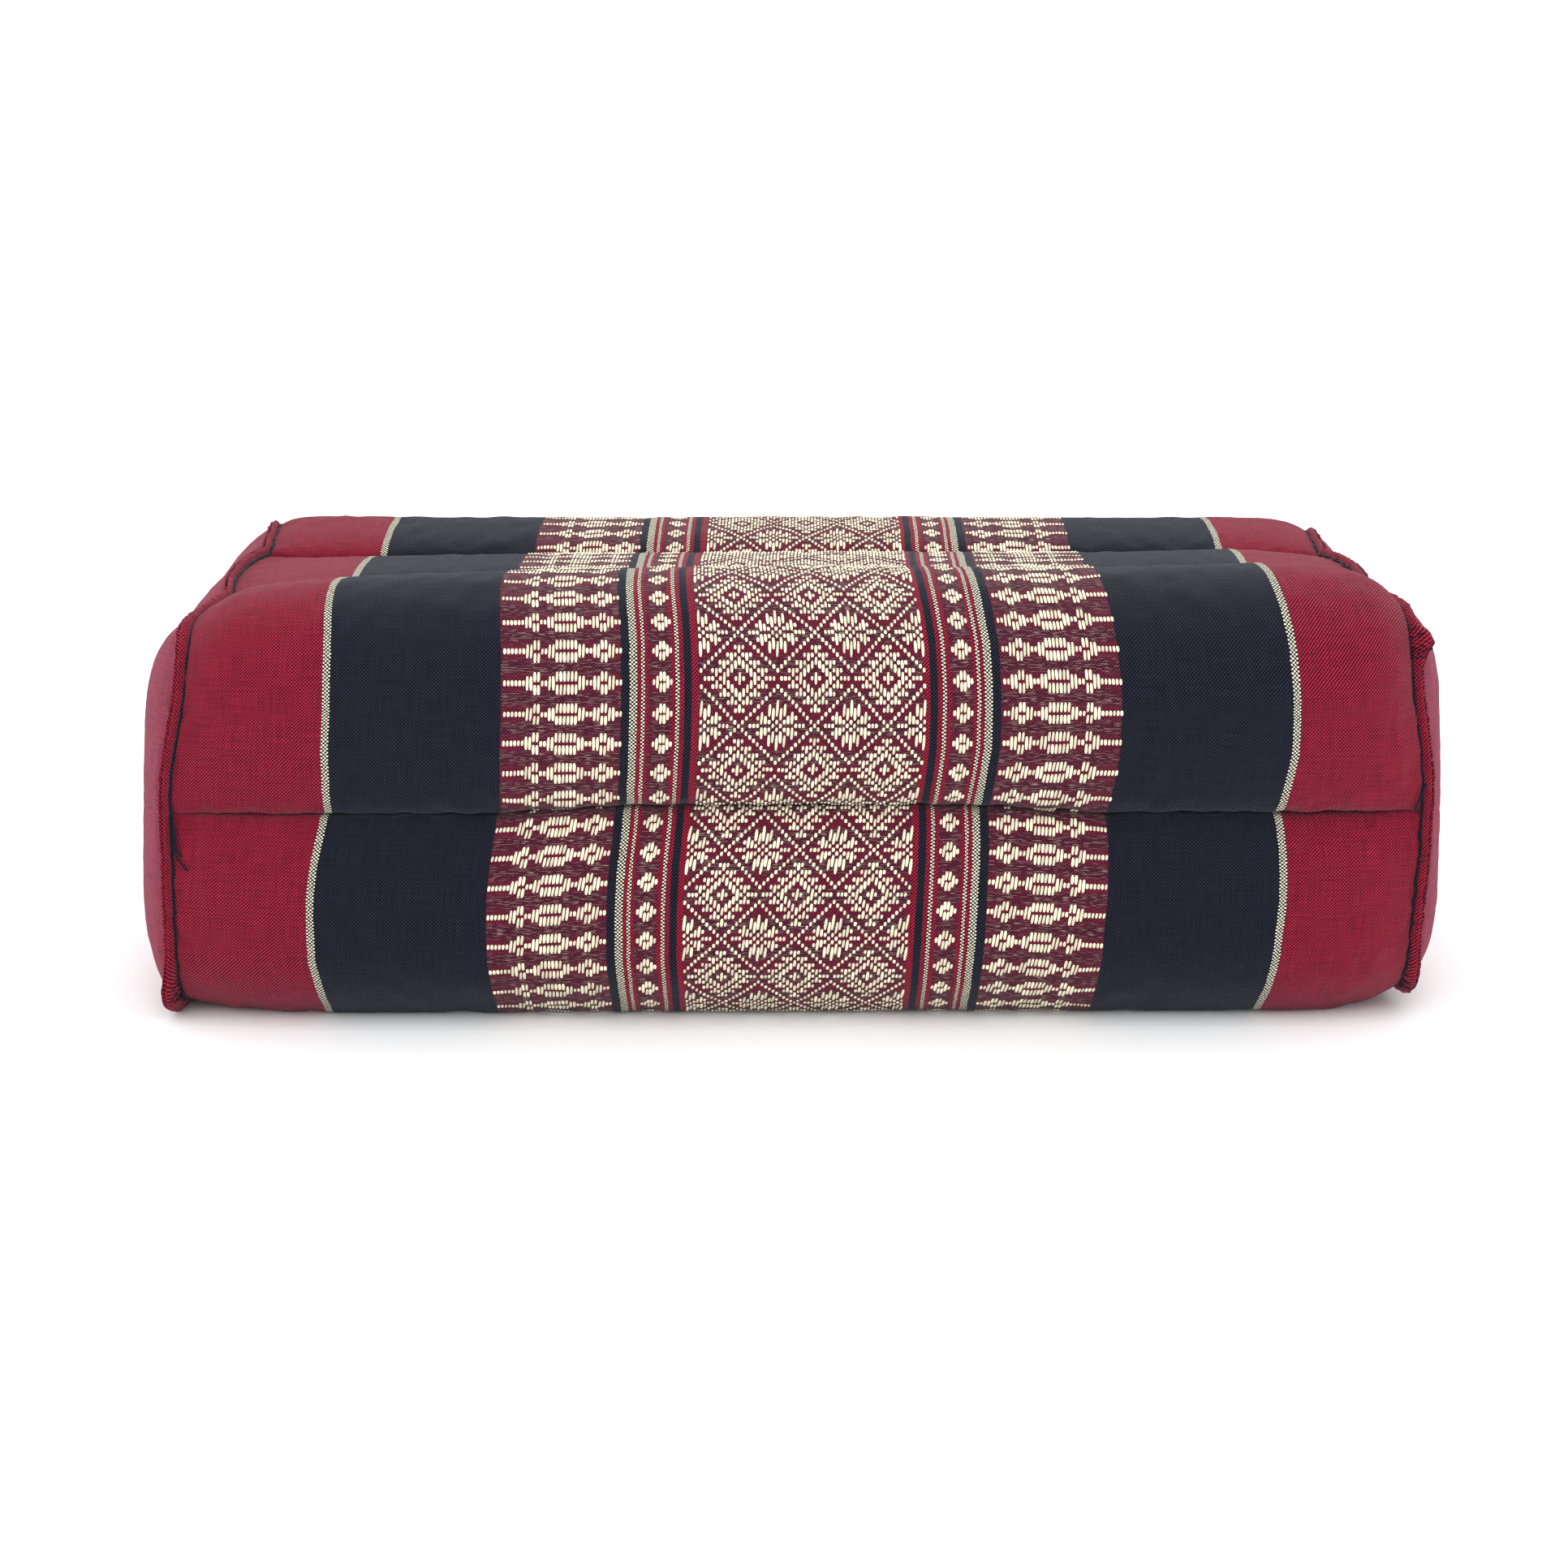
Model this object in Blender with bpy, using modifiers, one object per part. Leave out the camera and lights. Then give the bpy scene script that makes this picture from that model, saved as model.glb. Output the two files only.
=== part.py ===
"""Block cushion for floor exercise: a filled body of six sewn rolls wrapped in one striped cloth.

Each end is closed by a crowned panel, and a raised seam runs round the panel's edge.
X is the length, -Y the front and +Z up. The cushion rests on z = 0.
"""

import math
from collections import namedtuple

import bmesh
import bpy
from mathutils import Vector

# Driving dimensions, in metres
SEAM_LENGTH = 0.350           # from one end seam to the other
BASE_DEPTH = 0.160            # from the front channel to the back channel
BASE_BOTTOM = 0.0065          # height of the two bottom channels
BASE_TOP = 0.1140             # height of the two top channels
SIDE_CHANNEL_HEIGHT = 0.0600  # height of the front and back channels
CHANNEL_SPACING = 0.060       # between the two top channels, and between the two bottom ones
CORNER_RADIUS = 0.024         # of the section under the rolls, at mid length
END_CORNER_RADIUS = 0.016     # of the same section at the end seams
CROWN_LEFT_AT_SEAM = 0.14     # share of each roll's crown that is left at the end seam
ROLL_POWER = 2.3              # how square each roll's crown is
CHANNEL_LIFT = 0.0025         # the front channel rises this much where the brocade is thickest
CHANNEL_LIFT_HALF = 0.090     # half the length of that rise
CHANNEL_PULL = 0.0030         # the end seam is drawn in this much more at the top channels
LEFT_SHARPNESS = 8            # how late the rolls sink toward the left end seam, as a power
RIGHT_SHARPNESS = 12          # the same toward the right end seam

LEFT_BULGE = 0.0165           # how far the filled left end stands out past its seam
RIGHT_BULGE = 0.0140          # the same at the right end
MIDDLE_X = (LEFT_BULGE - RIGHT_BULGE) / 2  # mid length of the seams, so that the whole cushion is centred
END_POWER = 2.2               # how flat the middle of a filled end is
END_ROUNDNESS = 0.70          # how steeply it rises from its seam, less for steeper
PANEL_THICKNESS = 0.0016
SEAM_EDGE_SIZE = 0.988        # where the raised seam's inner foot meets the filled end
SEAM_FOOT = 0.0016            # how far the raised seam's outer foot reaches over the wrap
SEAM_HEIGHT = 0.0050
SEAM_TIP = 0.0010             # the rounded tip's share of that height
SEAM_TIP_WIDTH = 0.45         # the tip's width, as a share of the seam's thickness
GAP = 0.00035                 # between pieces that touch in the real cushion

STATIONS = 22                 # steps along the length
CORNER_STEPS = 11             # steps round a corner roll
MIDDLE_STEPS = 6              # steps round a middle roll
END_RING_SIZES = (0.98, 0.93, 0.82, 0.66, 0.46, 0.24)  # the first one is the end panel's edge

# The six rolls, in order from the front channel up, over and round. Start, corner and end are points (y, z)
# of the section at mid length. Droop is the share of the crown that sinks early, toward each end.
Roll = namedtuple("Roll", "name start corner end crown droop_left droop_right")
FRONT = Vector((-BASE_DEPTH / 2, SIDE_CHANNEL_HEIGHT))
BACK = Vector((BASE_DEPTH / 2, SIDE_CHANNEL_HEIGHT))
TOP_FRONT = Vector((-CHANNEL_SPACING / 2, BASE_TOP))
TOP_BACK = Vector((CHANNEL_SPACING / 2, BASE_TOP))
BOTTOM_FRONT = Vector((-CHANNEL_SPACING / 2, BASE_BOTTOM))
BOTTOM_BACK = Vector((CHANNEL_SPACING / 2, BASE_BOTTOM))
ROLLS = (
    Roll("front_top", FRONT, Vector((FRONT.x, BASE_TOP)), TOP_FRONT, 0.0122, 0.50, 0.02),
    Roll("top_middle", TOP_FRONT, None, TOP_BACK, 0.0056, 0.25, 0.15),
    Roll("back_top", TOP_BACK, Vector((BACK.x, BASE_TOP)), BACK, 0.0110, 0.05, 0.15),
    Roll("back_bottom", BACK, Vector((BACK.x, BASE_BOTTOM)), BOTTOM_BACK, 0.0108, 0.20, 0.20),
    Roll("bottom_middle", BOTTOM_BACK, None, BOTTOM_FRONT, 0.0095, 0.20, 0.20),
    Roll("front_bottom", BOTTOM_FRONT, Vector((FRONT.x, BASE_BOTTOM)), FRONT, 0.0112, 0.05, 0.05),
)

# The corners of each end seam, left (side -1) and right (side 1). Depth and height are the square corner's
# y and z. Inward is how far the cloth's corner is drawn toward mid length. Reach is how far the cloth's ear
# stands out past the rest of the raised seam, centred at a share of the roll and as wide as spread.
EndCorner = namedtuple("EndCorner", "side roll depth height inward reach share spread")
END_CORNERS = (
    EndCorner(-1, "front_top", -0.0790, 0.1070, 0.0090, 0.0010, 0.55, 0.08),
    EndCorner(-1, "back_top", 0.0790, 0.1165, 0.0100, 0.0030, 0.45, 0.08),
    EndCorner(-1, "back_bottom", 0.0780, 0.0050, 0.0010, 0.0020, 0.55, 0.08),
    EndCorner(-1, "front_bottom", -0.0785, 0.0040, 0.0000, 0.0045, 0.47, 0.07),
    EndCorner(1, "front_top", -0.0790, 0.1080, 0.0060, 0.0045, 0.46, 0.06),
    EndCorner(1, "back_top", 0.0790, 0.1125, 0.0070, 0.0035, 0.45, 0.08),
    EndCorner(1, "back_bottom", 0.0780, 0.0055, 0.0010, 0.0020, 0.55, 0.08),
    EndCorner(1, "front_bottom", -0.0775, 0.0075, 0.0020, 0.0020, 0.47, 0.08),
)

WRAP_RED = (0.300, 0.016, 0.040, 1.0)
PANEL_RED = (0.240, 0.010, 0.034, 1.0)
SEAM_RED = (0.090, 0.012, 0.026, 1.0)
CLOTH_ROUGHNESS = 0.85


def clear_scene():
    for obj in list(bpy.data.objects):
        bpy.data.objects.remove(obj, do_unlink=True)


def cloth_material(name, colour):
    material = bpy.data.materials.new(name)
    material.use_nodes = True
    shader = material.node_tree.nodes["Principled BSDF"]
    shader.inputs["Base Color"].default_value = colour
    shader.inputs["Roughness"].default_value = CLOTH_ROUGHNESS
    shader.inputs["Metallic"].default_value = 0.0
    return material


def end_share(x):
    """0 at mid length and 1 at an end seam."""
    return min(1.0, abs(x) / (SEAM_LENGTH / 2))


def side_of(x):
    return -1 if x < 0 else 1


def end_corner(side, roll_name):
    """The end seam's corner in that roll."""
    return next(c for c in END_CORNERS if c.side == side and c.roll == roll_name)


def sinking(x, roll):
    """How much of its way down to the end seam a roll has gone at x."""
    share = end_share(x)
    droop = roll.droop_left if x < 0 else roll.droop_right
    late = LEFT_SHARPNESS if x < 0 else RIGHT_SHARPNESS
    return droop * share**2 + (1 - droop) * share**late


def channel_lift(x):
    """The rise of the front channel at x: flat in the middle, with smooth shoulders."""
    reach = min(1.0, abs(x) / CHANNEL_LIFT_HALF)
    return CHANNEL_LIFT * (1 - reach**4) ** 2


def end_place(point, side):
    """Where a corner or channel of the section at mid length lies on that side's end seam."""
    upper = "front_top" if point.x < 0 else "back_top"
    lower = "front_bottom" if point.x < 0 else "back_bottom"
    if point.y == FRONT.y:
        above = end_corner(side, upper)
        below = end_corner(side, lower)
        return Vector(((above.depth + below.depth) / 2, point.y))
    names = ("front_top", "back_top") if point.y > FRONT.y else ("front_bottom", "back_bottom")
    front = end_corner(side, names[0])
    back = end_corner(side, names[1])
    share = (point.x - FRONT.x) / BASE_DEPTH
    return Vector((front.depth, front.height)).lerp(Vector((back.depth, back.height)), share)


def placed(point, x):
    """A corner or channel of the section at mid length, moved to where the section at x has it."""
    place = point.lerp(end_place(point, side_of(x)), end_share(x) ** 6)
    if point.y == FRONT.y and point.x < 0:
        place.y += channel_lift(x)
    return place


def outward(direction):
    return Vector((-direction.y, direction.x))


def corner_path(start, corner, end, radius, share):
    """Point and outward normal at a share of the way along start, a rounded corner and end."""
    first = (corner - start).normalized()
    second = (end - corner).normalized()
    turn_all = first.angle(second)
    cut = radius * math.tan(turn_all / 2)
    run_in = (corner - start).length - cut
    run_out = (end - corner).length - cut
    arc = radius * turn_all
    along = share * (run_in + arc + run_out)
    if along <= run_in:
        return start + first * along, outward(first)
    if along >= run_in + arc:
        return end - second * (run_in + arc + run_out - along), outward(second)
    turn = (along - run_in) / radius
    normal = outward(first) * math.cos(turn) + first * math.sin(turn)
    centre = corner - first * cut - outward(first) * radius
    return centre + normal * radius, normal


def roll_shares(steps):
    """Shares across a roll, closer together beside its two channels, the last one left out."""
    return [(1 - math.cos(math.pi * step / steps)) / 2 for step in range(steps)]


def drawn_in(roll, share, side):
    """How far the end seam is drawn toward mid length at a share across a roll."""
    ends = []
    for point in (roll.start, roll.end):
        if point.y == FRONT.y:
            ends.append(0.0)
            continue
        level = "top" if point.y > FRONT.y else "bottom"
        front = end_corner(side, "front_" + level).inward
        back = end_corner(side, "back_" + level).inward
        across = (point.x - FRONT.x) / BASE_DEPTH
        pull = CHANNEL_PULL if level == "top" else 0.0
        ends.append(front + (back - front) * across + pull)
    if roll.corner is None:
        hollow = CHANNEL_PULL * math.sin(math.pi * share) if roll.start.y > FRONT.y else 0.0
        return ends[0] + (ends[1] - ends[0]) * share - hollow
    middle = end_corner(side, roll.name).inward
    near = ends[0] if share < 0.5 else ends[1]
    nearness = (1 + math.cos(2 * math.pi * share)) / 2
    return middle + (near - middle) * nearness


def roll_point(roll, share, x):
    """The outer surface at a share of the way across a roll, at the station x."""
    start = placed(roll.start, x)
    end = placed(roll.end, x)
    if roll.corner is None:
        base = start.lerp(end, share)
        normal = outward((end - start).normalized())
    else:
        corner = placed(roll.corner, x)
        radius = CORNER_RADIUS + (END_CORNER_RADIUS - CORNER_RADIUS) * end_share(x) ** 4
        base, normal = corner_path(start, corner, end, radius, share)
    crown = roll.crown * (1 - sinking(x, roll) * (1 - CROWN_LEFT_AT_SEAM))
    height = crown * math.sqrt(max(0.0, 1 - abs(2 * share - 1) ** ROLL_POWER))
    point = base + normal * height
    side = side_of(x)
    along = x - side * drawn_in(roll, share, side) * end_share(x) ** 10
    return Vector((along, point.x, max(0.0, point.y)))


def section_places():
    """(roll, share) for each point round the section."""
    places = []
    for roll in ROLLS:
        steps = MIDDLE_STEPS if roll.corner is None else CORNER_STEPS
        places += [(roll, share) for share in roll_shares(steps)]
    return places


def section(x):
    """The body's outline at the station x."""
    return [roll_point(roll, share, x) for roll, share in section_places()]


def station_places():
    """Places along the length, closer together toward the ends."""
    half = SEAM_LENGTH / 2
    places = []
    for step in range(STATIONS + 1):
        rounded = -math.cos(math.pi * step / STATIONS)
        even = 2 * step / STATIONS - 1
        places.append(half * (0.6 * rounded + 0.4 * even))
    return places


def end_centre(side):
    """The middle of an end seam's loop."""
    corners = [corner for corner in END_CORNERS if corner.side == side]
    height = sum(corner.height for corner in corners) / len(corners)
    return Vector((side * SEAM_LENGTH / 2, 0.0, height))


def end_bulge(side):
    return LEFT_BULGE if side < 0 else RIGHT_BULGE


def end_ring(side, size):
    """A ring of the filled end: the end seam's loop at a smaller size, standing out as the fill does."""
    centre = end_centre(side)
    bulge = end_bulge(side) * (1 - size**END_POWER) ** END_ROUNDNESS
    ring = []
    for point in section(side * SEAM_LENGTH / 2):
        place = centre.lerp(point, size)
        place.x = side * (SEAM_LENGTH / 2 + bulge) + (point.x - centre.x) * size**6
        ring.append(place)
    return ring


def end_tip(side):
    return end_centre(side) + Vector((side * end_bulge(side), 0.0, 0.0))


def mesh_object(name, shape, material, collection):
    bmesh.ops.translate(shape, vec=Vector((MIDDLE_X, 0.0, 0.0)), verts=shape.verts)
    mesh = bpy.data.meshes.new(name)
    shape.to_mesh(mesh)
    shape.free()
    mesh.materials.append(material)
    mesh.shade_smooth()
    obj = bpy.data.objects.new(name, mesh)
    collection.objects.link(obj)
    return obj


def loft(shape, rings):
    """Quads between each ring of points and the next. Returns the rings of vertices."""
    made = [[shape.verts.new(point) for point in ring] for ring in rings]
    for first, second in zip(made, made[1:]):
        bridge(shape, first, second)
    return made


def bridge(shape, first, second):
    """Quads between two closed rings of as many vertices."""
    for index in range(len(first)):
        following = (index + 1) % len(first)
        shape.faces.new((first[index], first[following], second[following], second[index]))


def fan(shape, ring, point):
    """Triangles from a closed ring of vertices to one point."""
    tip = shape.verts.new(point)
    for index in range(len(ring)):
        shape.faces.new((ring[index], ring[(index + 1) % len(ring)], tip))


def split_quads(shape):
    """Splits each quad along its shorter diagonal, so that the panels' facets match the body's."""
    bmesh.ops.triangulate(shape, faces=shape.faces, quad_method="SHORT_EDGE")


def build_body(material, collection):
    """The filled body: rolls along the length, and a domed fill at each end."""
    shape = bmesh.new()
    rings = [end_ring(-1, size) for size in reversed(END_RING_SIZES)]
    rings += [section(x) for x in station_places()]
    rings += [end_ring(1, size) for size in END_RING_SIZES]
    made = loft(shape, rings)
    fan(shape, made[0], end_tip(-1))
    fan(shape, made[-1], end_tip(1))
    split_quads(shape)
    bmesh.ops.recalc_face_normals(shape, faces=shape.faces)
    return mesh_object("cushion_body", shape, material, collection)


def build_end_panel(name, side, material, collection):
    """The crowned panel over a filled end: an open dome of cloth, given its thickness outward."""
    shape = bmesh.new()
    made = loft(shape, [end_ring(side, size) for size in END_RING_SIZES])
    fan(shape, made[-1], end_tip(side))
    split_quads(shape)
    bmesh.ops.recalc_face_normals(shape, faces=shape.faces)
    shape.normal_update()
    if sum(face.normal.x * face.calc_area() for face in shape.faces) * side < 0:
        bmesh.ops.reverse_faces(shape, faces=shape.faces)
        shape.normal_update()
    lifted = [vertex.co + vertex.normal * GAP for vertex in shape.verts]
    for vertex, place in zip(shape.verts, lifted):
        vertex.co = place
    panel = mesh_object(name, shape, material, collection)
    wall = panel.modifiers.new("cloth", "SOLIDIFY")
    wall.thickness = PANEL_THICKNESS
    wall.offset = 1.0
    return panel


def ear_height(side, roll, share):
    """The raised seam's height at a share across a roll, more at the cloth's ears."""
    if roll.corner is None:
        return SEAM_HEIGHT
    corner = end_corner(side, roll.name)
    nearness = (share - corner.share) / corner.spread
    return SEAM_HEIGHT + corner.reach * math.exp(-(nearness**2))


def grown(foot, direction, height):
    """A point that far from the foot, stopped by the surface that the cushion rests on."""
    point = foot + direction * height
    point.z = max(0.0, point.z)
    return point


def build_end_seam(name, side, material, collection):
    """The raised seam round an end: two cloth edges sewn together, standing out from the corner."""
    x = side * SEAM_LENGTH / 2
    places = section_places()
    loop = section(x)
    wrap_side = section(x - side * SEAM_FOOT)
    panel_side = end_ring(side, SEAM_EDGE_SIZE)
    count = len(loop)
    outlines = []
    for index, (roll, share) in enumerate(places):
        point = loop[index]
        run = loop[(index + 1) % count] - loop[index - 1]
        wrap_normal = run.cross(wrap_side[index] - point).normalized()
        panel_normal = (panel_side[index] - point).cross(run).normalized()
        if wrap_normal.dot(point - end_centre(side)) < 0:
            wrap_normal.negate()
        if panel_normal.x * side < 0:
            panel_normal.negate()
        out = (wrap_normal + panel_normal).normalized()
        height = ear_height(side, roll, share)
        if out.z < 0:
            height = min(height, max(GAP, (point.z - GAP) / -out.z))
        foot_wrap = wrap_side[index] + wrap_normal * GAP
        foot_panel = panel_side[index] + panel_normal * GAP
        shoulder = height - SEAM_TIP * height / SEAM_HEIGHT
        across = (foot_panel - foot_wrap) * (1 - SEAM_TIP_WIDTH) / 2
        outlines.append([
            foot_wrap,
            point + out * GAP * 1.4,
            foot_panel,
            grown(foot_panel, out, shoulder),
            grown(foot_panel - across, out, height),
            grown(foot_wrap + across, out, height),
            grown(foot_wrap, out, shoulder),
        ])
    shape = bmesh.new()
    made = loft(shape, outlines)
    bridge(shape, made[-1], made[0])
    bmesh.ops.recalc_face_normals(shape, faces=shape.faces)
    return mesh_object(name, shape, material, collection)


def main():
    clear_scene()
    collection = bpy.data.collections.new("block_cushion")
    bpy.context.scene.collection.children.link(collection)
    build_body(cloth_material("wrap_cloth", WRAP_RED), collection)
    panel_cloth = cloth_material("panel_cloth", PANEL_RED)
    seam_cloth = cloth_material("seam_cloth", SEAM_RED)
    for end, side in (("left", -1), ("right", 1)):
        build_end_panel(f"end_panel_{end}", side, panel_cloth, collection)
        build_end_seam(f"end_seam_{end}", side, seam_cloth, collection)


main()
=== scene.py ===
"""Looks of the yoga block cushion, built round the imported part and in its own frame.

X is the length, -Y the front and +Z up, in metres. The cushion rests on z = 0.
"""

import math
from collections import namedtuple

import bmesh
import bpy
import numpy as np
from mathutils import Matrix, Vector, noise


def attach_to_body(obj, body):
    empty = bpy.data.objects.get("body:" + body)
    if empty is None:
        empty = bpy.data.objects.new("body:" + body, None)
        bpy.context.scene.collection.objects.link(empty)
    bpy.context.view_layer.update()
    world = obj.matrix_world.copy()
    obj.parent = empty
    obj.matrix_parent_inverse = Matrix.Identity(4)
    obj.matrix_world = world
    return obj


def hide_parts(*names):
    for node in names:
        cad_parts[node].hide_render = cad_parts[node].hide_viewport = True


bl_info = {
    "name": "Block cushion looks",
    "version": (1, 0, 0),
    "blender": (4, 5, 0),
    "location": "3D View > Sidebar > Cushion",
    "description": "Builds the filled cloth, seams, brocade and stage of a block cushion",
    "category": "Object",
}

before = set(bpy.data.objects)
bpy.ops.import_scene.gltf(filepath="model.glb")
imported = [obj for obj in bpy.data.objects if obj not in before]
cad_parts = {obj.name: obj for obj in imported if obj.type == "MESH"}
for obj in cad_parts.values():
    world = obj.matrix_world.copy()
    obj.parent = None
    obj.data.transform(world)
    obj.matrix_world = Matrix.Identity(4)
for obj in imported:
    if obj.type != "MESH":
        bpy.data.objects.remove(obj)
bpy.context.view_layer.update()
BODY = "root"
MM = 0.001

# The filled shape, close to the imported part's, with its upper corners a little fuller
SEAM_LENGTH = 0.350           # from one end seam to the other
BASE_DEPTH = 0.160            # from the front channel to the back channel
BASE_BOTTOM = 0.0065          # height of the two bottom channels
BASE_TOP = 0.1140             # height of the two top channels
SIDE_CHANNEL_HEIGHT = 0.0600  # height of the front and back channels
CHANNEL_SPACING = 0.060       # between the two top channels, and between the two bottom ones
CORNER_RADIUS = 0.024         # of the section under the rolls, at mid length
END_CORNER_RADIUS = 0.016     # of the same section at the end seams
CROWN_LEFT_AT_SEAM = 0.14     # share of each roll's crown that is left at the end seam
ROLL_POWER = 2.3              # how square each roll's crown is
CHANNEL_LIFT = 0.0025         # the front channel rises this much where the brocade is thickest
CHANNEL_LIFT_HALF = 0.090     # half the length of that rise
CHANNEL_PULL = 0.0030         # the end seam is drawn in this much more at the top channels
END_TURN = 11                 # how late the channels turn to their places on the end seams, as a power
INWARD_TURN = 10              # how late the cloth is drawn in toward the end seams, as a power
RADIUS_TURN = 4               # how late the section's corners grow sharper, as a power
SHOULDER_PLACE = 0.78         # where a shoulder is highest, as a share of the way to the right end seam
SHOULDER_SPREAD = 0.16        # how far it reaches, as the same share
LEFT_BULGE = 0.0155           # how far the filled left end stands out past its seam
RIGHT_BULGE = 0.0128          # the same at the right end
BULGE_SAG = 0.30              # how much further the ends stand out low down than high up
MIDDLE_X = 0.00125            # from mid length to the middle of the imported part's box
END_POWER = 2.2               # how flat the middle of a filled end is
END_ROUNDNESS = 0.70          # how steeply it rises from its seam, less for steeper

# The six rolls, in order from the front channel up, over and round. Start, corner and end are points
# (y, z) of the section at mid length. Droop is the share of the crown that sinks early, toward each end.
# Late is how late the rest sinks, as a power. Shoulder is how much higher the roll stands before its
# right end.
Roll = namedtuple(
    "Roll", "name start corner end crown droop_left droop_right late_left late_right shoulder"
)
FRONT = Vector((-BASE_DEPTH / 2, SIDE_CHANNEL_HEIGHT))
BACK = Vector((BASE_DEPTH / 2, SIDE_CHANNEL_HEIGHT))
TOP_FRONT = Vector((-CHANNEL_SPACING / 2, BASE_TOP))
TOP_BACK = Vector((CHANNEL_SPACING / 2, BASE_TOP))
BOTTOM_FRONT = Vector((-CHANNEL_SPACING / 2, BASE_BOTTOM))
BOTTOM_BACK = Vector((CHANNEL_SPACING / 2, BASE_BOTTOM))
UPPER_FRONT = Vector((FRONT.x, BASE_TOP))
UPPER_BACK = Vector((BACK.x, BASE_TOP))
LOWER_FRONT = Vector((FRONT.x, BASE_BOTTOM))
LOWER_BACK = Vector((BACK.x, BASE_BOTTOM))
ROLLS = (
    Roll("front_top", FRONT, UPPER_FRONT, TOP_FRONT, 0.0122, 0.52, 0.02, 14, 20, 0.10),
    Roll("top_middle", TOP_FRONT, None, TOP_BACK, 0.0058, 0.45, 0.15, 8, 12, 0.25),
    Roll("back_top", TOP_BACK, UPPER_BACK, BACK, 0.0110, 0.05, 0.15, 16, 18, 0.0),
    Roll("back_bottom", BACK, LOWER_BACK, BOTTOM_BACK, 0.0108, 0.20, 0.20, 8, 12, 0.0),
    Roll("bottom_middle", BOTTOM_BACK, None, BOTTOM_FRONT, 0.0095, 0.20, 0.20, 8, 12, 0.0),
    Roll("front_bottom", BOTTOM_FRONT, LOWER_FRONT, FRONT, 0.0112, 0.05, 0.05, 8, 12, 0.0),
)

# The corners of each end seam, left (side -1) and right (side 1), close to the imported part's
EndCorner = namedtuple("EndCorner", "side roll depth height inward reach share spread")
END_CORNERS = (
    EndCorner(-1, "front_top", -0.0790, 0.1085, 0.0070, 0.0010, 0.55, 0.08),
    EndCorner(-1, "back_top", 0.0790, 0.1200, 0.0080, 0.0008, 0.45, 0.08),
    EndCorner(-1, "back_bottom", 0.0780, 0.0050, 0.0010, 0.0020, 0.55, 0.08),
    EndCorner(-1, "front_bottom", -0.0785, 0.0040, 0.0000, 0.0045, 0.47, 0.07),
    EndCorner(1, "front_top", -0.0790, 0.1125, 0.0060, 0.0050, 0.485, 0.035),
    EndCorner(1, "back_top", 0.0790, 0.1165, 0.0060, 0.0002, 0.45, 0.08),
    EndCorner(1, "back_bottom", 0.0780, 0.0055, 0.0010, 0.0020, 0.55, 0.08),
    EndCorner(1, "front_bottom", -0.0775, 0.0075, 0.0020, 0.0020, 0.47, 0.08),
)

# The grid of cloth points round and along the cushion
EDGE_STEPS = (0.0, 0.0010, 0.0022, 0.0037, 0.0056, 0.0080, 0.0110)  # distances from a channel
CORNER_INNER_STEPS = 26       # even steps across the rest of a corner roll
MIDDLE_INNER_STEPS = 11       # the same across a middle roll
LENGTH_STEPS = 88
END_CROWDING = 0.35           # how much closer together the stations are toward the ends

# Woven layout, as distances from the pattern's centre, in metres
CHART_ROW = 8.73 * MM         # from one row of spindles to the next, along the girth
TUCK = 5.0 * MM               # cloth hidden in a channel on each side of its seam
UPPER_TUCK = 3.0 * MM         # the same over the front channel
LOWER_TUCK = 2.0 * MM         # the same under the front channel
LOWER_STRETCH = 1.058         # cloth on the front bottom roll, as a share of its length on the form
SIDE_SHIFT = 2.2 * MM         # how much more cloth the front channel hides away from mid length


# Shape of the filled cushion

END_NAMES = {-1: "left", 1: "right"}


def end_share(x):
    """0 at mid length and 1 at an end seam."""
    return min(1.0, abs(x) / (SEAM_LENGTH / 2))


def side_of(x):
    return -1 if x < 0 else 1


def end_corner(side, roll_name):
    return next(c for c in END_CORNERS if c.side == side and c.roll == roll_name)


def sinking(x, roll):
    """How much of its way down to the end seam a roll has gone at x."""
    share = end_share(x)
    droop = roll.droop_left if x < 0 else roll.droop_right
    late = roll.late_left if x < 0 else roll.late_right
    return droop * share**2 + (1 - droop) * share**late


def channel_lift(x):
    reach = min(1.0, abs(x) / CHANNEL_LIFT_HALF)
    return CHANNEL_LIFT * (1 - reach**4) ** 2


def end_place(point, side):
    """Where a corner or channel of the section at mid length lies on that side's end seam."""
    upper = "front_top" if point.x < 0 else "back_top"
    lower = "front_bottom" if point.x < 0 else "back_bottom"
    if point.y == FRONT.y:
        above = end_corner(side, upper)
        below = end_corner(side, lower)
        return Vector(((above.depth + below.depth) / 2, point.y))
    names = ("front_top", "back_top") if point.y > FRONT.y else ("front_bottom", "back_bottom")
    front = end_corner(side, names[0])
    back = end_corner(side, names[1])
    share = (point.x - FRONT.x) / BASE_DEPTH
    return Vector((front.depth, front.height)).lerp(Vector((back.depth, back.height)), share)


def placed(point, x):
    place = point.lerp(end_place(point, side_of(x)), end_share(x) ** END_TURN)
    if point.y == FRONT.y and point.x < 0:
        place.y += channel_lift(x)
    return place


def outward(direction):
    return Vector((-direction.y, direction.x))


def corner_path(start, corner, end, radius, share):
    """Point and outward normal at a share of the way along start, a rounded corner and end."""
    first = (corner - start).normalized()
    second = (end - corner).normalized()
    turn_all = first.angle(second)
    cut = radius * math.tan(turn_all / 2)
    run_in = (corner - start).length - cut
    run_out = (end - corner).length - cut
    arc = radius * turn_all
    along = share * (run_in + arc + run_out)
    if along <= run_in:
        return start + first * along, outward(first)
    if along >= run_in + arc:
        return end - second * (run_in + arc + run_out - along), outward(second)
    turn = (along - run_in) / radius
    normal = outward(first) * math.cos(turn) + first * math.sin(turn)
    centre = corner - first * cut - outward(first) * radius
    return centre + normal * radius, normal


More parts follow.
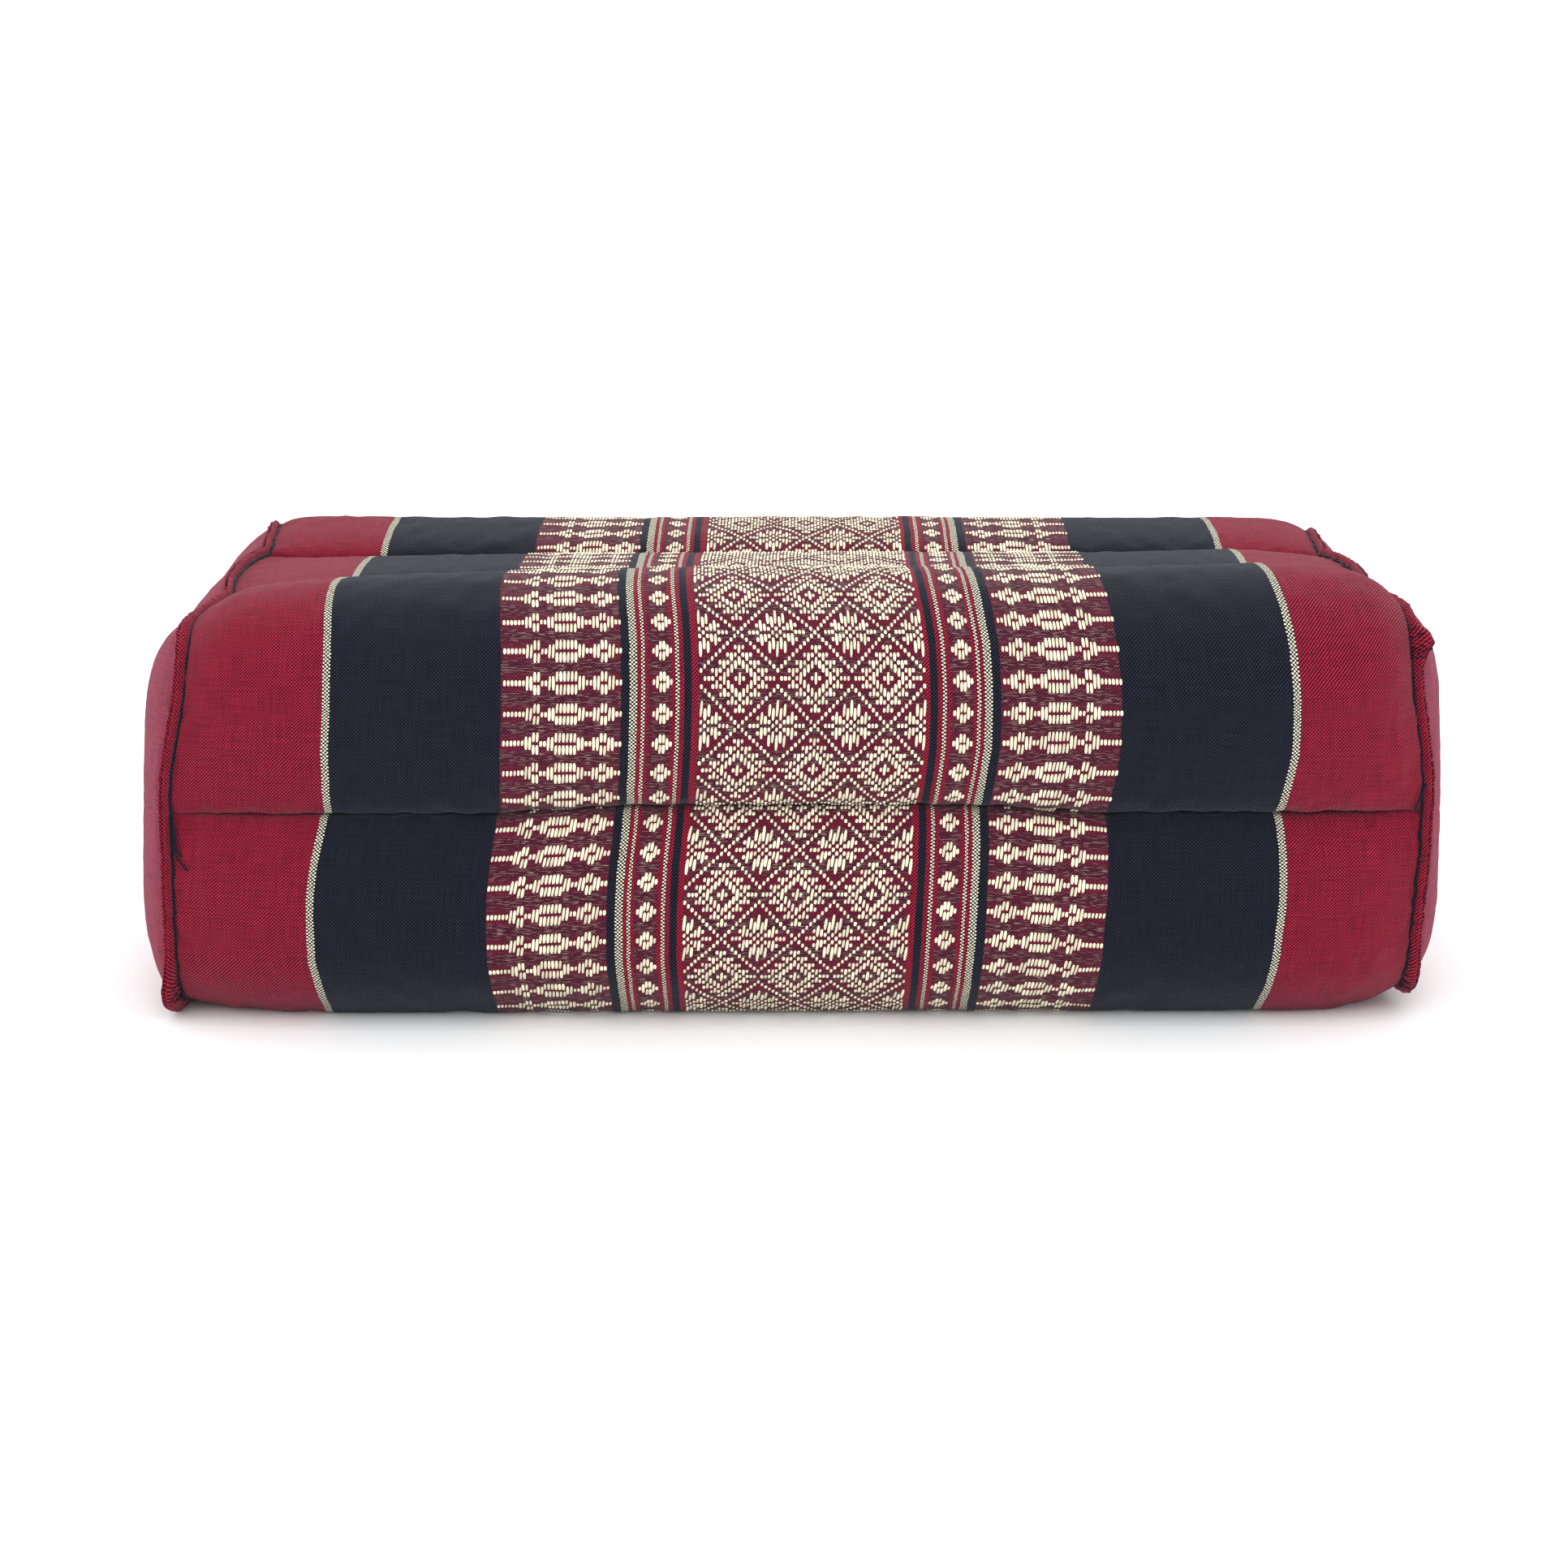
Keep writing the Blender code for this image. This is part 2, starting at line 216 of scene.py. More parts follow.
def drawn_in(roll, share, side):
    """How far the end seam is drawn toward mid length at a share across a roll."""
    ends = []
    for point in (roll.start, roll.end):
        if point.y == FRONT.y:
            ends.append(0.0)
            continue
        level = "top" if point.y > FRONT.y else "bottom"
        front = end_corner(side, "front_" + level).inward
        back = end_corner(side, "back_" + level).inward
        across = (point.x - FRONT.x) / BASE_DEPTH
        pull = CHANNEL_PULL if level == "top" else 0.0
        ends.append(front + (back - front) * across + pull)
    if roll.corner is None:
        hollow = CHANNEL_PULL * math.sin(math.pi * share) if roll.start.y > FRONT.y else 0.0
        return ends[0] + (ends[1] - ends[0]) * share - hollow
    middle = end_corner(side, roll.name).inward
    near = ends[0] if share < 0.5 else ends[1]
    nearness = (1 + math.cos(2 * math.pi * share)) / 2
    return middle + (near - middle) * nearness


def roll_point(roll, share, x, fullness=1.0):
    """The outer surface at a share of the way across a roll, at the station x."""
    start = placed(roll.start, x)
    end = placed(roll.end, x)
    if roll.corner is None:
        base = start.lerp(end, share)
        normal = outward((end - start).normalized())
    else:
        corner = placed(roll.corner, x)
        radius = CORNER_RADIUS + (END_CORNER_RADIUS - CORNER_RADIUS) * end_share(x) ** RADIUS_TURN
        base, normal = corner_path(start, corner, end, radius, share)
    crown = fullness * roll.crown * (1 - sinking(x, roll) * (1 - CROWN_LEFT_AT_SEAM))
    if x > 0:
        away = (end_share(x) - SHOULDER_PLACE) / SHOULDER_SPREAD
        crown *= 1 + roll.shoulder * math.exp(-(away**2))
    height = crown * math.sqrt(max(0.0, 1 - abs(2 * share - 1) ** ROLL_POWER))
    point = base + normal * height
    side = side_of(x)
    along = x - side * drawn_in(roll, share, side) * end_share(x) ** INWARD_TURN
    return Vector((along + MIDDLE_X, point.x, max(0.0, point.y)))


def end_centre(side):
    corners = [corner for corner in END_CORNERS if corner.side == side]
    height = sum(corner.height for corner in corners) / len(corners)
    return Vector((side * SEAM_LENGTH / 2 + MIDDLE_X, 0.0, height))


def end_bulge(side):
    return LEFT_BULGE if side < 0 else RIGHT_BULGE


# Grid of cloth points


def girth_length(roll, samples=400):
    """Shares across a roll and the length of cloth to each, along the section at mid length."""
    shares = [(1 - math.cos(math.pi * step / samples)) / 2 for step in range(samples + 1)]
    points = [roll_point(roll, share, 0.0) for share in shares]
    lengths = [0.0]
    for first, second in zip(points, points[1:]):
        lengths.append(lengths[-1] + (second - first).length)
    return np.array(shares), np.array(lengths)


def girth_places():
    """(roll, share, length of cloth from the roll's start, roll's whole length) round the section."""
    places = []
    for roll in ROLLS:
        shares, lengths = girth_length(roll)
        whole = lengths[-1]
        inner = MIDDLE_INNER_STEPS if roll.corner is None else CORNER_INNER_STEPS
        edge = EDGE_STEPS[-1]
        steps = list(EDGE_STEPS)
        steps += [edge + (whole - 2 * edge) * step / inner for step in range(1, inner)]
        steps += [whole - distance for distance in reversed(EDGE_STEPS[1:])]
        for length in steps:
            share = float(np.interp(length, lengths, shares))
            places.append((roll, share, length, whole))
    return places


def length_places():
    """Places along the length, closer together toward the ends."""
    half = SEAM_LENGTH / 2
    places = []
    for step in range(LENGTH_STEPS + 1):
        rounded = -math.cos(math.pi * step / LENGTH_STEPS)
        even = 2 * step / LENGTH_STEPS - 1
        places.append(half * (END_CROWDING * rounded + (1 - END_CROWDING) * even))
    return places


GIRTH = girth_places()
LENGTHS = length_places()
ROUND = len(GIRTH)
CHANNELS = [index for index, place in enumerate(GIRTH) if place[2] == 0.0]


def wrap_points(fullness):
    """The wrap's points as an array: station along the length, point round the girth, xyz."""
    rows = []
    for x in LENGTHS:
        rows.append([roll_point(roll, share, x, fullness) for roll, share, _, _ in GIRTH])
    return np.array(rows, float)


def corner_indices():
    """Where the end loop turns its four corners: front top, back top, back bottom, front bottom."""
    found = []
    for roll in (ROLLS[0], ROLLS[2], ROLLS[3], ROLLS[5]):
        inside = [index for index, place in enumerate(GIRTH) if place[0] is roll]
        found.append(inside[len(inside) // 2])
    return found


def end_grid_loop():
    """Grid of loop indices for an end panel's rim, as (top, bottom, front, back) lists."""
    front_top, back_top, back_bottom, front_bottom = corner_indices()
    top = list(range(front_top, back_top + 1))
    back = list(range(back_top, back_bottom + 1))
    bottom = list(range(front_bottom, back_bottom - 1, -1))
    front = [index % ROUND for index in range(front_top, front_bottom - ROUND - 1, -1)]
    return top, bottom, front, back


def end_grid(loop, side):
    """Points of an end panel: a grid woven between the four sides of its loop, domed by the fill."""
    top, bottom, front, back = end_grid_loop()
    across = np.linspace(0, 1, len(top))[:, None, None]
    down = np.linspace(0, 1, len(front))[None, :, None]
    side_to_side = (1 - across) * loop[front][None] + across * loop[back][None]
    top_to_bottom = (1 - down) * loop[top][:, None] + down * loop[bottom][:, None]
    corners = (
        (1 - across) * (1 - down) * loop[top[0]]
        + across * (1 - down) * loop[top[-1]]
        + (1 - across) * down * loop[bottom[0]]
        + across * down * loop[bottom[-1]]
    )
    grid = side_to_side + top_to_bottom - corners
    centre = end_centre(side)
    angles = np.arctan2(loop[:, 2] - centre.z, loop[:, 1] - centre.y)
    reach = np.hypot(loop[:, 1] - centre.y, loop[:, 2] - centre.z)
    order = np.argsort(angles)
    grid_angle = np.arctan2(grid[..., 2] - centre.z, grid[..., 1] - centre.y)
    grid_reach = np.hypot(grid[..., 1] - centre.y, grid[..., 2] - centre.z)
    rim_reach = np.interp(grid_angle, angles[order], reach[order], period=2 * math.pi)
    rim_x = np.interp(grid_angle, angles[order], loop[order, 0], period=2 * math.pi)
    size = np.clip(grid_reach / rim_reach, 0, 1)
    sag = 1 - BULGE_SAG * (grid[..., 2] - centre.z) / centre.z
    bulge = end_bulge(side) * sag * (1 - size**END_POWER) ** END_ROUNDNESS
    inner = grid.copy()
    inner[..., 0] = centre.x + side * bulge + (rim_x - centre.x) * size**6
    for index_row in (0, -1):
        inner[index_row] = grid[index_row]
        inner[:, index_row] = grid[:, index_row]
    return inner


# Filled form, simulated as cloth


def end_vertex_grid(station):
    """Vertex number of each point of an end grid. Its rim is the wrap's ring at that station."""
    top, bottom, front, back = end_grid_loop()
    grid = np.full((len(top), len(front)), -1)
    ring = station * ROUND
    grid[:, 0] = [ring + index for index in top]
    grid[:, -1] = [ring + index for index in bottom]
    grid[0] = [ring + index for index in front]
    grid[-1] = [ring + index for index in back]
    first = (LENGTH_STEPS + 1) * ROUND
    inner = (len(top) - 2) * (len(front) - 2)
    if station:
        first += inner
    grid[1:-1, 1:-1] = first + np.arange(inner).reshape(len(top) - 2, len(front) - 2)
    return grid


def grid_faces(grid, closed=False):
    """Quads of a grid of vertex numbers, as an array of four columns."""
    if closed:
        grid = np.concatenate([grid, grid[:, :1]], axis=1)
    corners = (grid[:-1, :-1], grid[1:, :-1], grid[1:, 1:], grid[:-1, 1:])
    return np.stack([corner.ravel() for corner in corners], axis=1)


WRAP_GRID = np.arange((LENGTH_STEPS + 1) * ROUND).reshape(LENGTH_STEPS + 1, ROUND)
END_GRIDS = {-1: end_vertex_grid(0), 1: end_vertex_grid(LENGTH_STEPS)}


def form_points(fullness):
    """Every point of the closed form: the wrap, then the inside of the left and the right end grid."""
    wrap = wrap_points(fullness)
    points = [wrap.reshape(-1, 3)]
    for side, ring in ((-1, wrap[0]), (1, wrap[-1])):
        points.append(end_grid(ring, side)[1:-1, 1:-1].reshape(-1, 3))
    return np.concatenate(points)


def add_object(name, data):
    """A new object in the scene, made of this data."""
    obj = bpy.data.objects.new(name, data)
    bpy.context.scene.collection.objects.link(obj)
    return obj


def new_mesh_object(name, points, faces, smooth=True):
    mesh = bpy.data.meshes.new(name)
    mesh.from_pydata([tuple(point) for point in points], [], [tuple(map(int, face)) for face in faces])
    if smooth:
        mesh.shade_smooth()
    return add_object(name, mesh)


def set_material(obj, material):
    obj.data.materials.clear()
    obj.data.materials.append(material)


def plain_mesh(obj):
    """Applies an object's modifiers."""
    evaluated = obj.evaluated_get(bpy.context.evaluated_depsgraph_get())
    mesh = bpy.data.meshes.new_from_object(evaluated)
    obj.modifiers.clear()
    old = obj.data
    obj.data = mesh
    mesh.name = obj.name
    bpy.data.meshes.remove(old)


def add_finer(obj):
    """Divides an object's faces once, with its cloth coordinates as they are."""
    finer = obj.modifiers.new("finer", "SUBSURF")
    finer.levels = finer.render_levels = 1
    finer.uv_smooth = "NONE"
    return finer


def set_cloth_coordinates(mesh, coordinates):
    """Stores cloth coordinates on the face corners of a mesh."""
    layer = mesh.uv_layers.new(name="cloth")
    layer.data.foreach_set("uv", np.asarray(coordinates, np.float32).ravel())


def add_attribute(mesh, name, values):
    """Stores a number or a vector on each point of a mesh."""
    values = np.asarray(values, np.float32)
    kind, key = ("FLOAT_VECTOR", "vector") if values.ndim == 2 else ("FLOAT", "value")
    mesh.attributes.new(name, kind, "POINT").data.foreach_set(key, values.ravel())


def unit(vectors):
    """The same directions, each of length one."""
    return vectors / np.linalg.norm(vectors, axis=1, keepdims=True)


def face_outwards(obj):
    shape = bmesh.new()
    shape.from_mesh(obj.data)
    bmesh.ops.recalc_face_normals(shape, faces=shape.faces)
    shape.to_mesh(obj.data)
    shape.free()


def mesh_points(mesh):
    points = np.zeros(len(mesh.vertices) * 3, np.float32)
    mesh.vertices.foreach_get("co", points)
    return points.reshape(-1, 3).astype(float)


def set_mesh_points(mesh, points):
    mesh.vertices.foreach_set("co", np.asarray(points, np.float32).ravel())
    mesh.update()


def sewn_weights(firmness):
    """How firmly the fill or a seam holds each point of the form. 1 is sewn down."""
    weights = np.full((LENGTH_STEPS + 1) * ROUND + 2 * END_GRIDS[1][1:-1, 1:-1].size, firmness)
    weights[WRAP_GRID[:, CHANNELS].ravel()] = 1.0
    weights[WRAP_GRID[0]] = 1.0
    weights[WRAP_GRID[-1]] = 1.0
    return weights


# Cotton drawn tight over a firm fill, in the terms of the cloth simulation
FILLED_CLOTH = {
    "quality": 5, "mass": 0.3, "tension_stiffness": 20, "compression_stiffness": 20,
    "shear_stiffness": 8, "bending_stiffness": 0.4, "tension_damping": 8, "compression_damping": 8,
    "use_pressure": True, "pin_stiffness": 1,
}


def simulate_filling(form, sizes):
    """Lets the fill press the cloth outwards, with the seams held. Returns where it comes to rest."""
    group = form.vertex_groups.new(name="held")
    weights = sewn_weights(sizes.firmness)
    for weight in (1.0, sizes.firmness):
        members = np.nonzero(weights == weight)[0]
        group.add([int(index) for index in members], weight, "REPLACE")
    cloth = form.modifiers.new("filling", "CLOTH")
    settings = cloth.settings
    for name, value in FILLED_CLOTH.items():
        setattr(settings, name, value)
    settings.uniform_pressure_force = sizes.pressure
    settings.shrink_min = settings.shrink_max = -sizes.slack
    settings.effector_weights.gravity = 0
    settings.vertex_group_mass = group.name
    cloth.collision_settings.use_collision = False
    cloth.point_cache.frame_start = 1
    cloth.point_cache.frame_end = sizes.frames
    for step in range(1, sizes.frames + 1):
        bpy.context.scene.frame_set(step)
    evaluated = form.evaluated_get(bpy.context.evaluated_depsgraph_get())
    rested = mesh_points(evaluated.data)
    form.modifiers.remove(cloth)
    form.vertex_groups.remove(group)
    bpy.context.scene.frame_set(1)
    return rested


def within_cap(before, after, cap):
    """Points moved from before toward after, none further than the cap, and none under the floor."""
    motion = after - before
    length = np.linalg.norm(motion, axis=1, keepdims=True)
    share = np.minimum(1.0, cap / np.maximum(length, 1e-9))
    moved = before + motion * share
    moved[:, 2] = np.maximum(moved[:, 2], 0.0)
    return moved


# Shader node helpers


def add_node(tree, kind, links=None, **settings):
    """Adds a node. Links maps an input's name or number to a value or to another node's output."""
    made = tree.nodes.new(kind)
    for name, value in settings.items():
        setattr(made, name, value)
    for key, value in (links or {}).items():
        if isinstance(value, bpy.types.NodeSocket):
            tree.links.new(value, made.inputs[key])
        else:
            made.inputs[key].default_value = value
    return made


def maths(tree, operation, *values, clamp=False):
    links = dict(enumerate(values))
    return add_node(tree, "ShaderNodeMath", links, operation=operation, use_clamp=clamp).outputs[0]


def fill_sockets(tree, sockets, values):
    """Gives each socket in use a value, or links another node's output to it."""
    for socket, value in zip([s for s in sockets if s.enabled], values):
        if isinstance(value, bpy.types.NodeSocket):
            tree.links.new(value, socket)
        else:
            socket.default_value = value


def enabled_socket(sockets, name=None):
    """The first socket in use, or the one in use of that name."""
    return next(s for s in sockets if s.enabled and name in (None, s.name))


def blend_colours(tree, share, first, second):
    made = add_node(tree, "ShaderNodeMix", data_type="RGBA", blend_type="MIX")
    fill_sockets(tree, made.inputs, (share, first, second))
    return enabled_socket(made.outputs)


def new_group(name, inputs, outputs):
    """An empty shader node group. Inputs are (name, kind, default). Returns it and its sockets."""
    tree = bpy.data.node_groups.new(name, "ShaderNodeTree")
    for socket_name, kind, default in inputs:
        socket = tree.interface.new_socket(socket_name, in_out="INPUT", socket_type=kind)
        if default is not None:
            socket.default_value = default
    for socket_name, kind in outputs:
        tree.interface.new_socket(socket_name, in_out="OUTPUT", socket_type=kind)
    given, result = tree.nodes.new("NodeGroupInput"), tree.nodes.new("NodeGroupOutput")
    return tree, given.outputs, result.inputs


def use_group(tree, group, links):
    return add_node(tree, "ShaderNodeGroup", links, node_tree=group)


def parts_of(tree, vector):
    """The x, y and z of a vector."""
    return add_node(tree, "ShaderNodeSeparateXYZ", {0: vector}).outputs


def noise_at(tree, place, scale, **links):
    """Soft noise with a middle of 0.5, at a place."""
    links = {"Vector": place, "Scale": scale, **links}
    return add_node(tree, "ShaderNodeTexNoise", links).outputs[0]


def cloth_place(tree):
    """The piece's own cloth coordinates."""
    return add_node(tree, "ShaderNodeUVMap", uv_map="cloth").outputs[0]


def toned(tree, colour, bright):
    return add_node(
        tree, "ShaderNodeVectorMath", {0: colour, "Scale": bright}, operation="SCALE"
    ).outputs[0]


def rgba(colour):
    return (*colour[:3], 1.0)


def stretched(tree, place, scale):
    """Cloth coordinates scaled by one amount across and by another along."""
    return add_node(
        tree, "ShaderNodeVectorMath", {0: place, 1: (*scale, 0.0)}, operation="MULTIPLY"
    ).outputs[0]


# How uneven the plain weave is. Scales are noise cells in a metre.
WANDER_SCALE = 260.0
WANDER = 1.6                  # how far the threads wander, in radians of the weave's pattern
CROSSING_GAIN = 2.2           # how sharply one thread gives way to the other
LONG_SLUB_SCALE = 90.0        # thick places, along their thread
FINE_SLUB_SCALE = 1900.0      # the same across it
SLUB_TONE = 3.0


def plain_weave_group():
    """Two colours of thread crossing over and under each other."""
    tree, given, result = new_group(
        "plain_weave",
        (
            ("Place", "NodeSocketVector", None),
            ("Pitch", "NodeSocketFloat", 0.00052),
            ("Warp", "NodeSocketColor", (0.5, 0.02, 0.06, 1)),
            ("Weft", "NodeSocketColor", (0.06, 0.005, 0.02, 1)),
            ("Warp Share", "NodeSocketFloat", 0.5),
            ("Slant", "NodeSocketFloat", 0.25),
            ("Slubs", "NodeSocketFloat", 0.3),
        ),
        (("Colour", "NodeSocketColor"), ("Height", "NodeSocketFloat")),
    )
    place = given["Place"]
    turn = maths(tree, "DIVIDE", math.pi, given["Pitch"])
    parts = parts_of(tree, place)
    wander = noise_at(tree, place, WANDER_SCALE, Detail=2.0)
    shift = maths(tree, "MULTIPLY", maths(tree, "SUBTRACT", wander, 0.5), WANDER)
    along = maths(tree, "MULTIPLY_ADD", parts[0], turn, shift)
    round_it = maths(tree, "MULTIPLY_ADD", parts[1], turn, shift)
    crossing = maths(tree, "MULTIPLY", maths(tree, "SINE", along), maths(tree, "SINE", round_it))
    slanting = maths(tree, "COSINE", maths(tree, "SUBTRACT", along, round_it))
    slant_part = maths(tree, "MULTIPLY", slanting, given["Slant"])
    straight = maths(tree, "SUBTRACT", 1.0, given["Slant"])
    pattern = maths(tree, "MULTIPLY_ADD", crossing, straight, slant_part)
    level = maths(tree, "SUBTRACT", given["Warp Share"], 0.5)
    share = maths(
        tree, "MULTIPLY_ADD", maths(tree, "ADD", pattern, level), CROSSING_GAIN, 0.5, clamp=True
    )
    warp_slub = noise_at(tree, stretched(tree, place, (FINE_SLUB_SCALE, LONG_SLUB_SCALE)), 1.0)
    weft_slub = noise_at(tree, stretched(tree, place, (LONG_SLUB_SCALE, FINE_SLUB_SCALE)), 1.0)
    slubs = maths(tree, "SUBTRACT", maths(tree, "ADD", warp_slub, weft_slub), 1.0)
    slubs = maths(tree, "MULTIPLY", slubs, given["Slubs"])
    mixed = blend_colours(tree, share, given["Weft"], given["Warp"])
    bright = maths(tree, "MULTIPLY_ADD", slubs, SLUB_TONE, 1.0)
    tree.links.new(toned(tree, mixed, bright), result["Colour"])
    tree.links.new(maths(tree, "ADD", maths(tree, "ABSOLUTE", crossing), slubs), result["Height"])
    return tree


# The edges of the cream checks: how much of a zone's rim stays clear, and how sharp and large each dot is
CHECK_EDGE = 0.001
CHECK_GAIN = 4.0
CHECK_LEVEL = -0.1


def cream_check_group():
    """Cream threads showing through a narrow zone in one or more staggered columns."""
    tree, given, result = new_group(
        "cream_check",
        (
            ("Distance", "NodeSocketFloat", 0.0),
            ("Girth", "NodeSocketFloat", 0.0),
            ("Start", "NodeSocketFloat", 0.0),
            ("End", "NodeSocketFloat", 0.0),
            ("Columns", "NodeSocketFloat", 1.0),
            ("Pitch", "NodeSocketFloat", 0.00105),
        ),
        (("Mask", "NodeSocketFloat"),),
    )
    inside = add_node(
        tree, "ShaderNodeMapRange",
        {
            "Value": given["Distance"], "From Min": given["Start"], "From Max": given["End"],
            "To Min": 0.0, "To Max": given["Columns"],
        },
        clamp=True,
    ).outputs[0]
    half = maths(tree, "MULTIPLY", given["Columns"], 0.5)
    reach = maths(tree, "SUBTRACT", half, CHECK_EDGE)
    column = maths(tree, "SINE", maths(tree, "MULTIPLY", inside, math.pi))
    turn = maths(tree, "DIVIDE", 2 * math.pi, given["Pitch"])
    row = maths(tree, "SINE", maths(tree, "MULTIPLY", given["Girth"], turn))
    mask = maths(
        tree, "MULTIPLY_ADD", maths(tree, "MULTIPLY", column, row), CHECK_GAIN, CHECK_LEVEL, clamp=True
    )
    mask = maths(tree, "MULTIPLY", mask, maths(tree, "COMPARE", inside, half, reach))
    tree.links.new(mask, result["Mask"])
    return tree


# How the ground of the figured bands varies. Scales are noise cells in a metre, across and along.
PATCH_SCALE = (160.0, 420.0)
PATCH_SPREAD = 1.2
DASH_SCALE = (380.0, 5200.0)
DASH_GAIN = 14.0
DASH_LEVEL = -8.6
BETWEEN_GAIN = -0.6           # how much stronger the dashes are between rows than on them
BETWEEN_LEVEL = 0.35
DASH_STRENGTH = 0.25


def figured_ground_group():
    """Ground of a figured band: redder near each row of figuring, with faint pale dashes between rows."""
    tree, given, result = new_group(
        "figured_ground",
        (
            ("Place", "NodeSocketVector", None),
            ("Zone", "NodeSocketFloat", 0.0),
            ("Row Pitch", "NodeSocketFloat", CHART_ROW),
            ("Banding", "NodeSocketFloat", 0.25),
        ),
        (("Red Share", "NodeSocketFloat"), ("Dashes", "NodeSocketFloat")),
    )
    place = given["Place"]
    turn = maths(tree, "DIVIDE", 2 * math.pi, given["Row Pitch"])
    phase = maths(tree, "COSINE", maths(tree, "MULTIPLY", parts_of(tree, place)[1], turn))
    patches = noise_at(tree, stretched(tree, place, PATCH_SCALE), 1.0)
    uneven = maths(tree, "MULTIPLY", maths(tree, "SUBTRACT", patches, 0.5), PATCH_SPREAD)
    banded = maths(tree, "MULTIPLY", maths(tree, "ADD", phase, uneven), given["Banding"])
    tree.links.new(maths(tree, "MULTIPLY_ADD", banded, given["Zone"], 0.5), result["Red Share"])
    streaks = noise_at(tree, stretched(tree, place, DASH_SCALE), 1.0, Detail=0.0)
    thin = maths(tree, "MULTIPLY_ADD", streaks, DASH_GAIN, DASH_LEVEL, clamp=True)
    between = maths(tree, "MULTIPLY_ADD", phase, BETWEEN_GAIN, BETWEEN_LEVEL, clamp=True)
    dashes = maths(tree, "MULTIPLY", maths(tree, "MULTIPLY", thin, between), given["Zone"])
    tree.links.new(dashes, result["Dashes"])
    return tree


def steps_of_colour(tree, distance, zones):
    """A colour for each zone of distance from the pattern's centre. Zones are (where it ends, colour)."""
    shown = rgba(zones[0][1])
    for (start, before), (_, colour) in zip(zones, zones[1:]):
        if tuple(before) != tuple(colour):
            shown = blend_colours(tree, maths(tree, "GREATER_THAN", distance, start), shown, rgba(colour))
    return shown


# Stripes with cream checks, from the pattern's centre outward: start, end and columns of checks
CREAM_CHECKS = (
    (36.7 * MM, 37.8 * MM, 2.0),
    (46.3 * MM, 47.3 * MM, 2.0),
    (48.4 * MM, 50.6 * MM, 4.0),
    (134.8 * MM, 137.0 * MM, 4.0),
)


def cloth_zones(colours):
    """The wrap's stripes from the pattern's centre outward: where each ends, and its warp and weft."""
    red = (colours.red_warp, colours.red_weft)
    black = (colours.black_warp, colours.black_weft)
    figured = (colours.figured_warp, colours.figured_weft)
    return (
        (31.5 * MM, *figured),
        (33.3 * MM, *red),
        (35.4 * MM, *black),
        (36.7 * MM, *red),
        (37.8 * MM, *black),
        (39.0 * MM, *red),
        (45.4 * MM, *figured),
        (46.3 * MM, *red),
        (47.3 * MM, *black),
        (48.4 * MM, *red),
        (53.0 * MM, *black),
        (86.6 * MM, *figured),
        (137.0 * MM, *black),
        (400.0 * MM, *red),
    )


def cloth_shader(name, sizes, colours):
    """A material with one Principled shader set up for matt cotton. Returns it, its tree and its shader."""
    material = bpy.data.materials.new(name)
    material.use_nodes = True
    tree = material.node_tree
    shader = tree.nodes["Principled BSDF"]
    shader.inputs["Roughness"].default_value = 0.9
    shader.inputs["Specular IOR Level"].default_value = 0.08
    shader.inputs["Sheen Weight"].default_value = sizes.fuzz
    shader.inputs["Sheen Roughness"].default_value = 0.45
    shader.inputs["Sheen Tint"].default_value = rgba(colours.fuzz)
    return material, tree, shader


def finish_cloth(tree, shader, colour, height, relief):
    bump = add_node(tree, "ShaderNodeBump", {"Height": height, "Distance": relief, "Strength": 1.0})
    tree.links.new(bump.outputs[0], shader.inputs["Normal"])
    tree.links.new(colour, shader.inputs["Base Color"])


STRIPE_EDGE_SCALE = 900.0     # noise cells in a metre along the edges of the stripes
STRIPE_EDGE = 0.0007          # how far those edges waver


def wrap_material(sizes, colours, groups):
    material, tree, shader = cloth_shader("woven_wrap", sizes, colours)
    place = cloth_place(tree)
    parts = parts_of(tree, place)
    wobble = maths(tree, "SUBTRACT", noise_at(tree, place, STRIPE_EDGE_SCALE), 0.5)
    edge = maths(tree, "MULTIPLY", wobble, STRIPE_EDGE)
    distance = maths(tree, "ADD", maths(tree, "ABSOLUTE", parts[0]), edge)
    zones = cloth_zones(colours)
    warp = steps_of_colour(tree, distance, [(end, warp) for end, warp, _ in zones])
    weft = steps_of_colour(tree, distance, [(end, weft) for end, _, weft in zones])
    figured = tuple(colours.figured_warp)
    shares = [(end, (1.0,) * 3 if tuple(warp) == figured else (0.0,) * 3) for end, warp, _ in zones]
    figured_zone = steps_of_colour(tree, distance, shares)
    ground = use_group(tree, groups["figured_ground"], {"Place": place, "Zone": figured_zone})
    weave = use_group(
        tree, groups["plain_weave"],
        {
            "Place": place, "Pitch": sizes.thread_pitch, "Warp": warp, "Weft": weft,
            "Warp Share": ground.outputs["Red Share"], "Slant": 0.25, "Slubs": 0.3,
        },
    )
    dashes = maths(tree, "MULTIPLY", ground.outputs["Dashes"], DASH_STRENGTH)
    colour = blend_colours(tree, dashes, weave.outputs["Colour"], rgba(colours.cream))
    for start, end, columns in CREAM_CHECKS:
        check = use_group(
            tree, groups["cream_check"],
            {
                "Distance": distance, "Girth": parts[1], "Start": start, "End": end,
                "Columns": columns, "Pitch": 2 * sizes.thread_pitch,
            },
        )
        colour = blend_colours(tree, check.outputs["Mask"], colour, rgba(colours.cream))
    finish_cloth(tree, shader, colour, weave.outputs["Height"], sizes.relief)
    return material


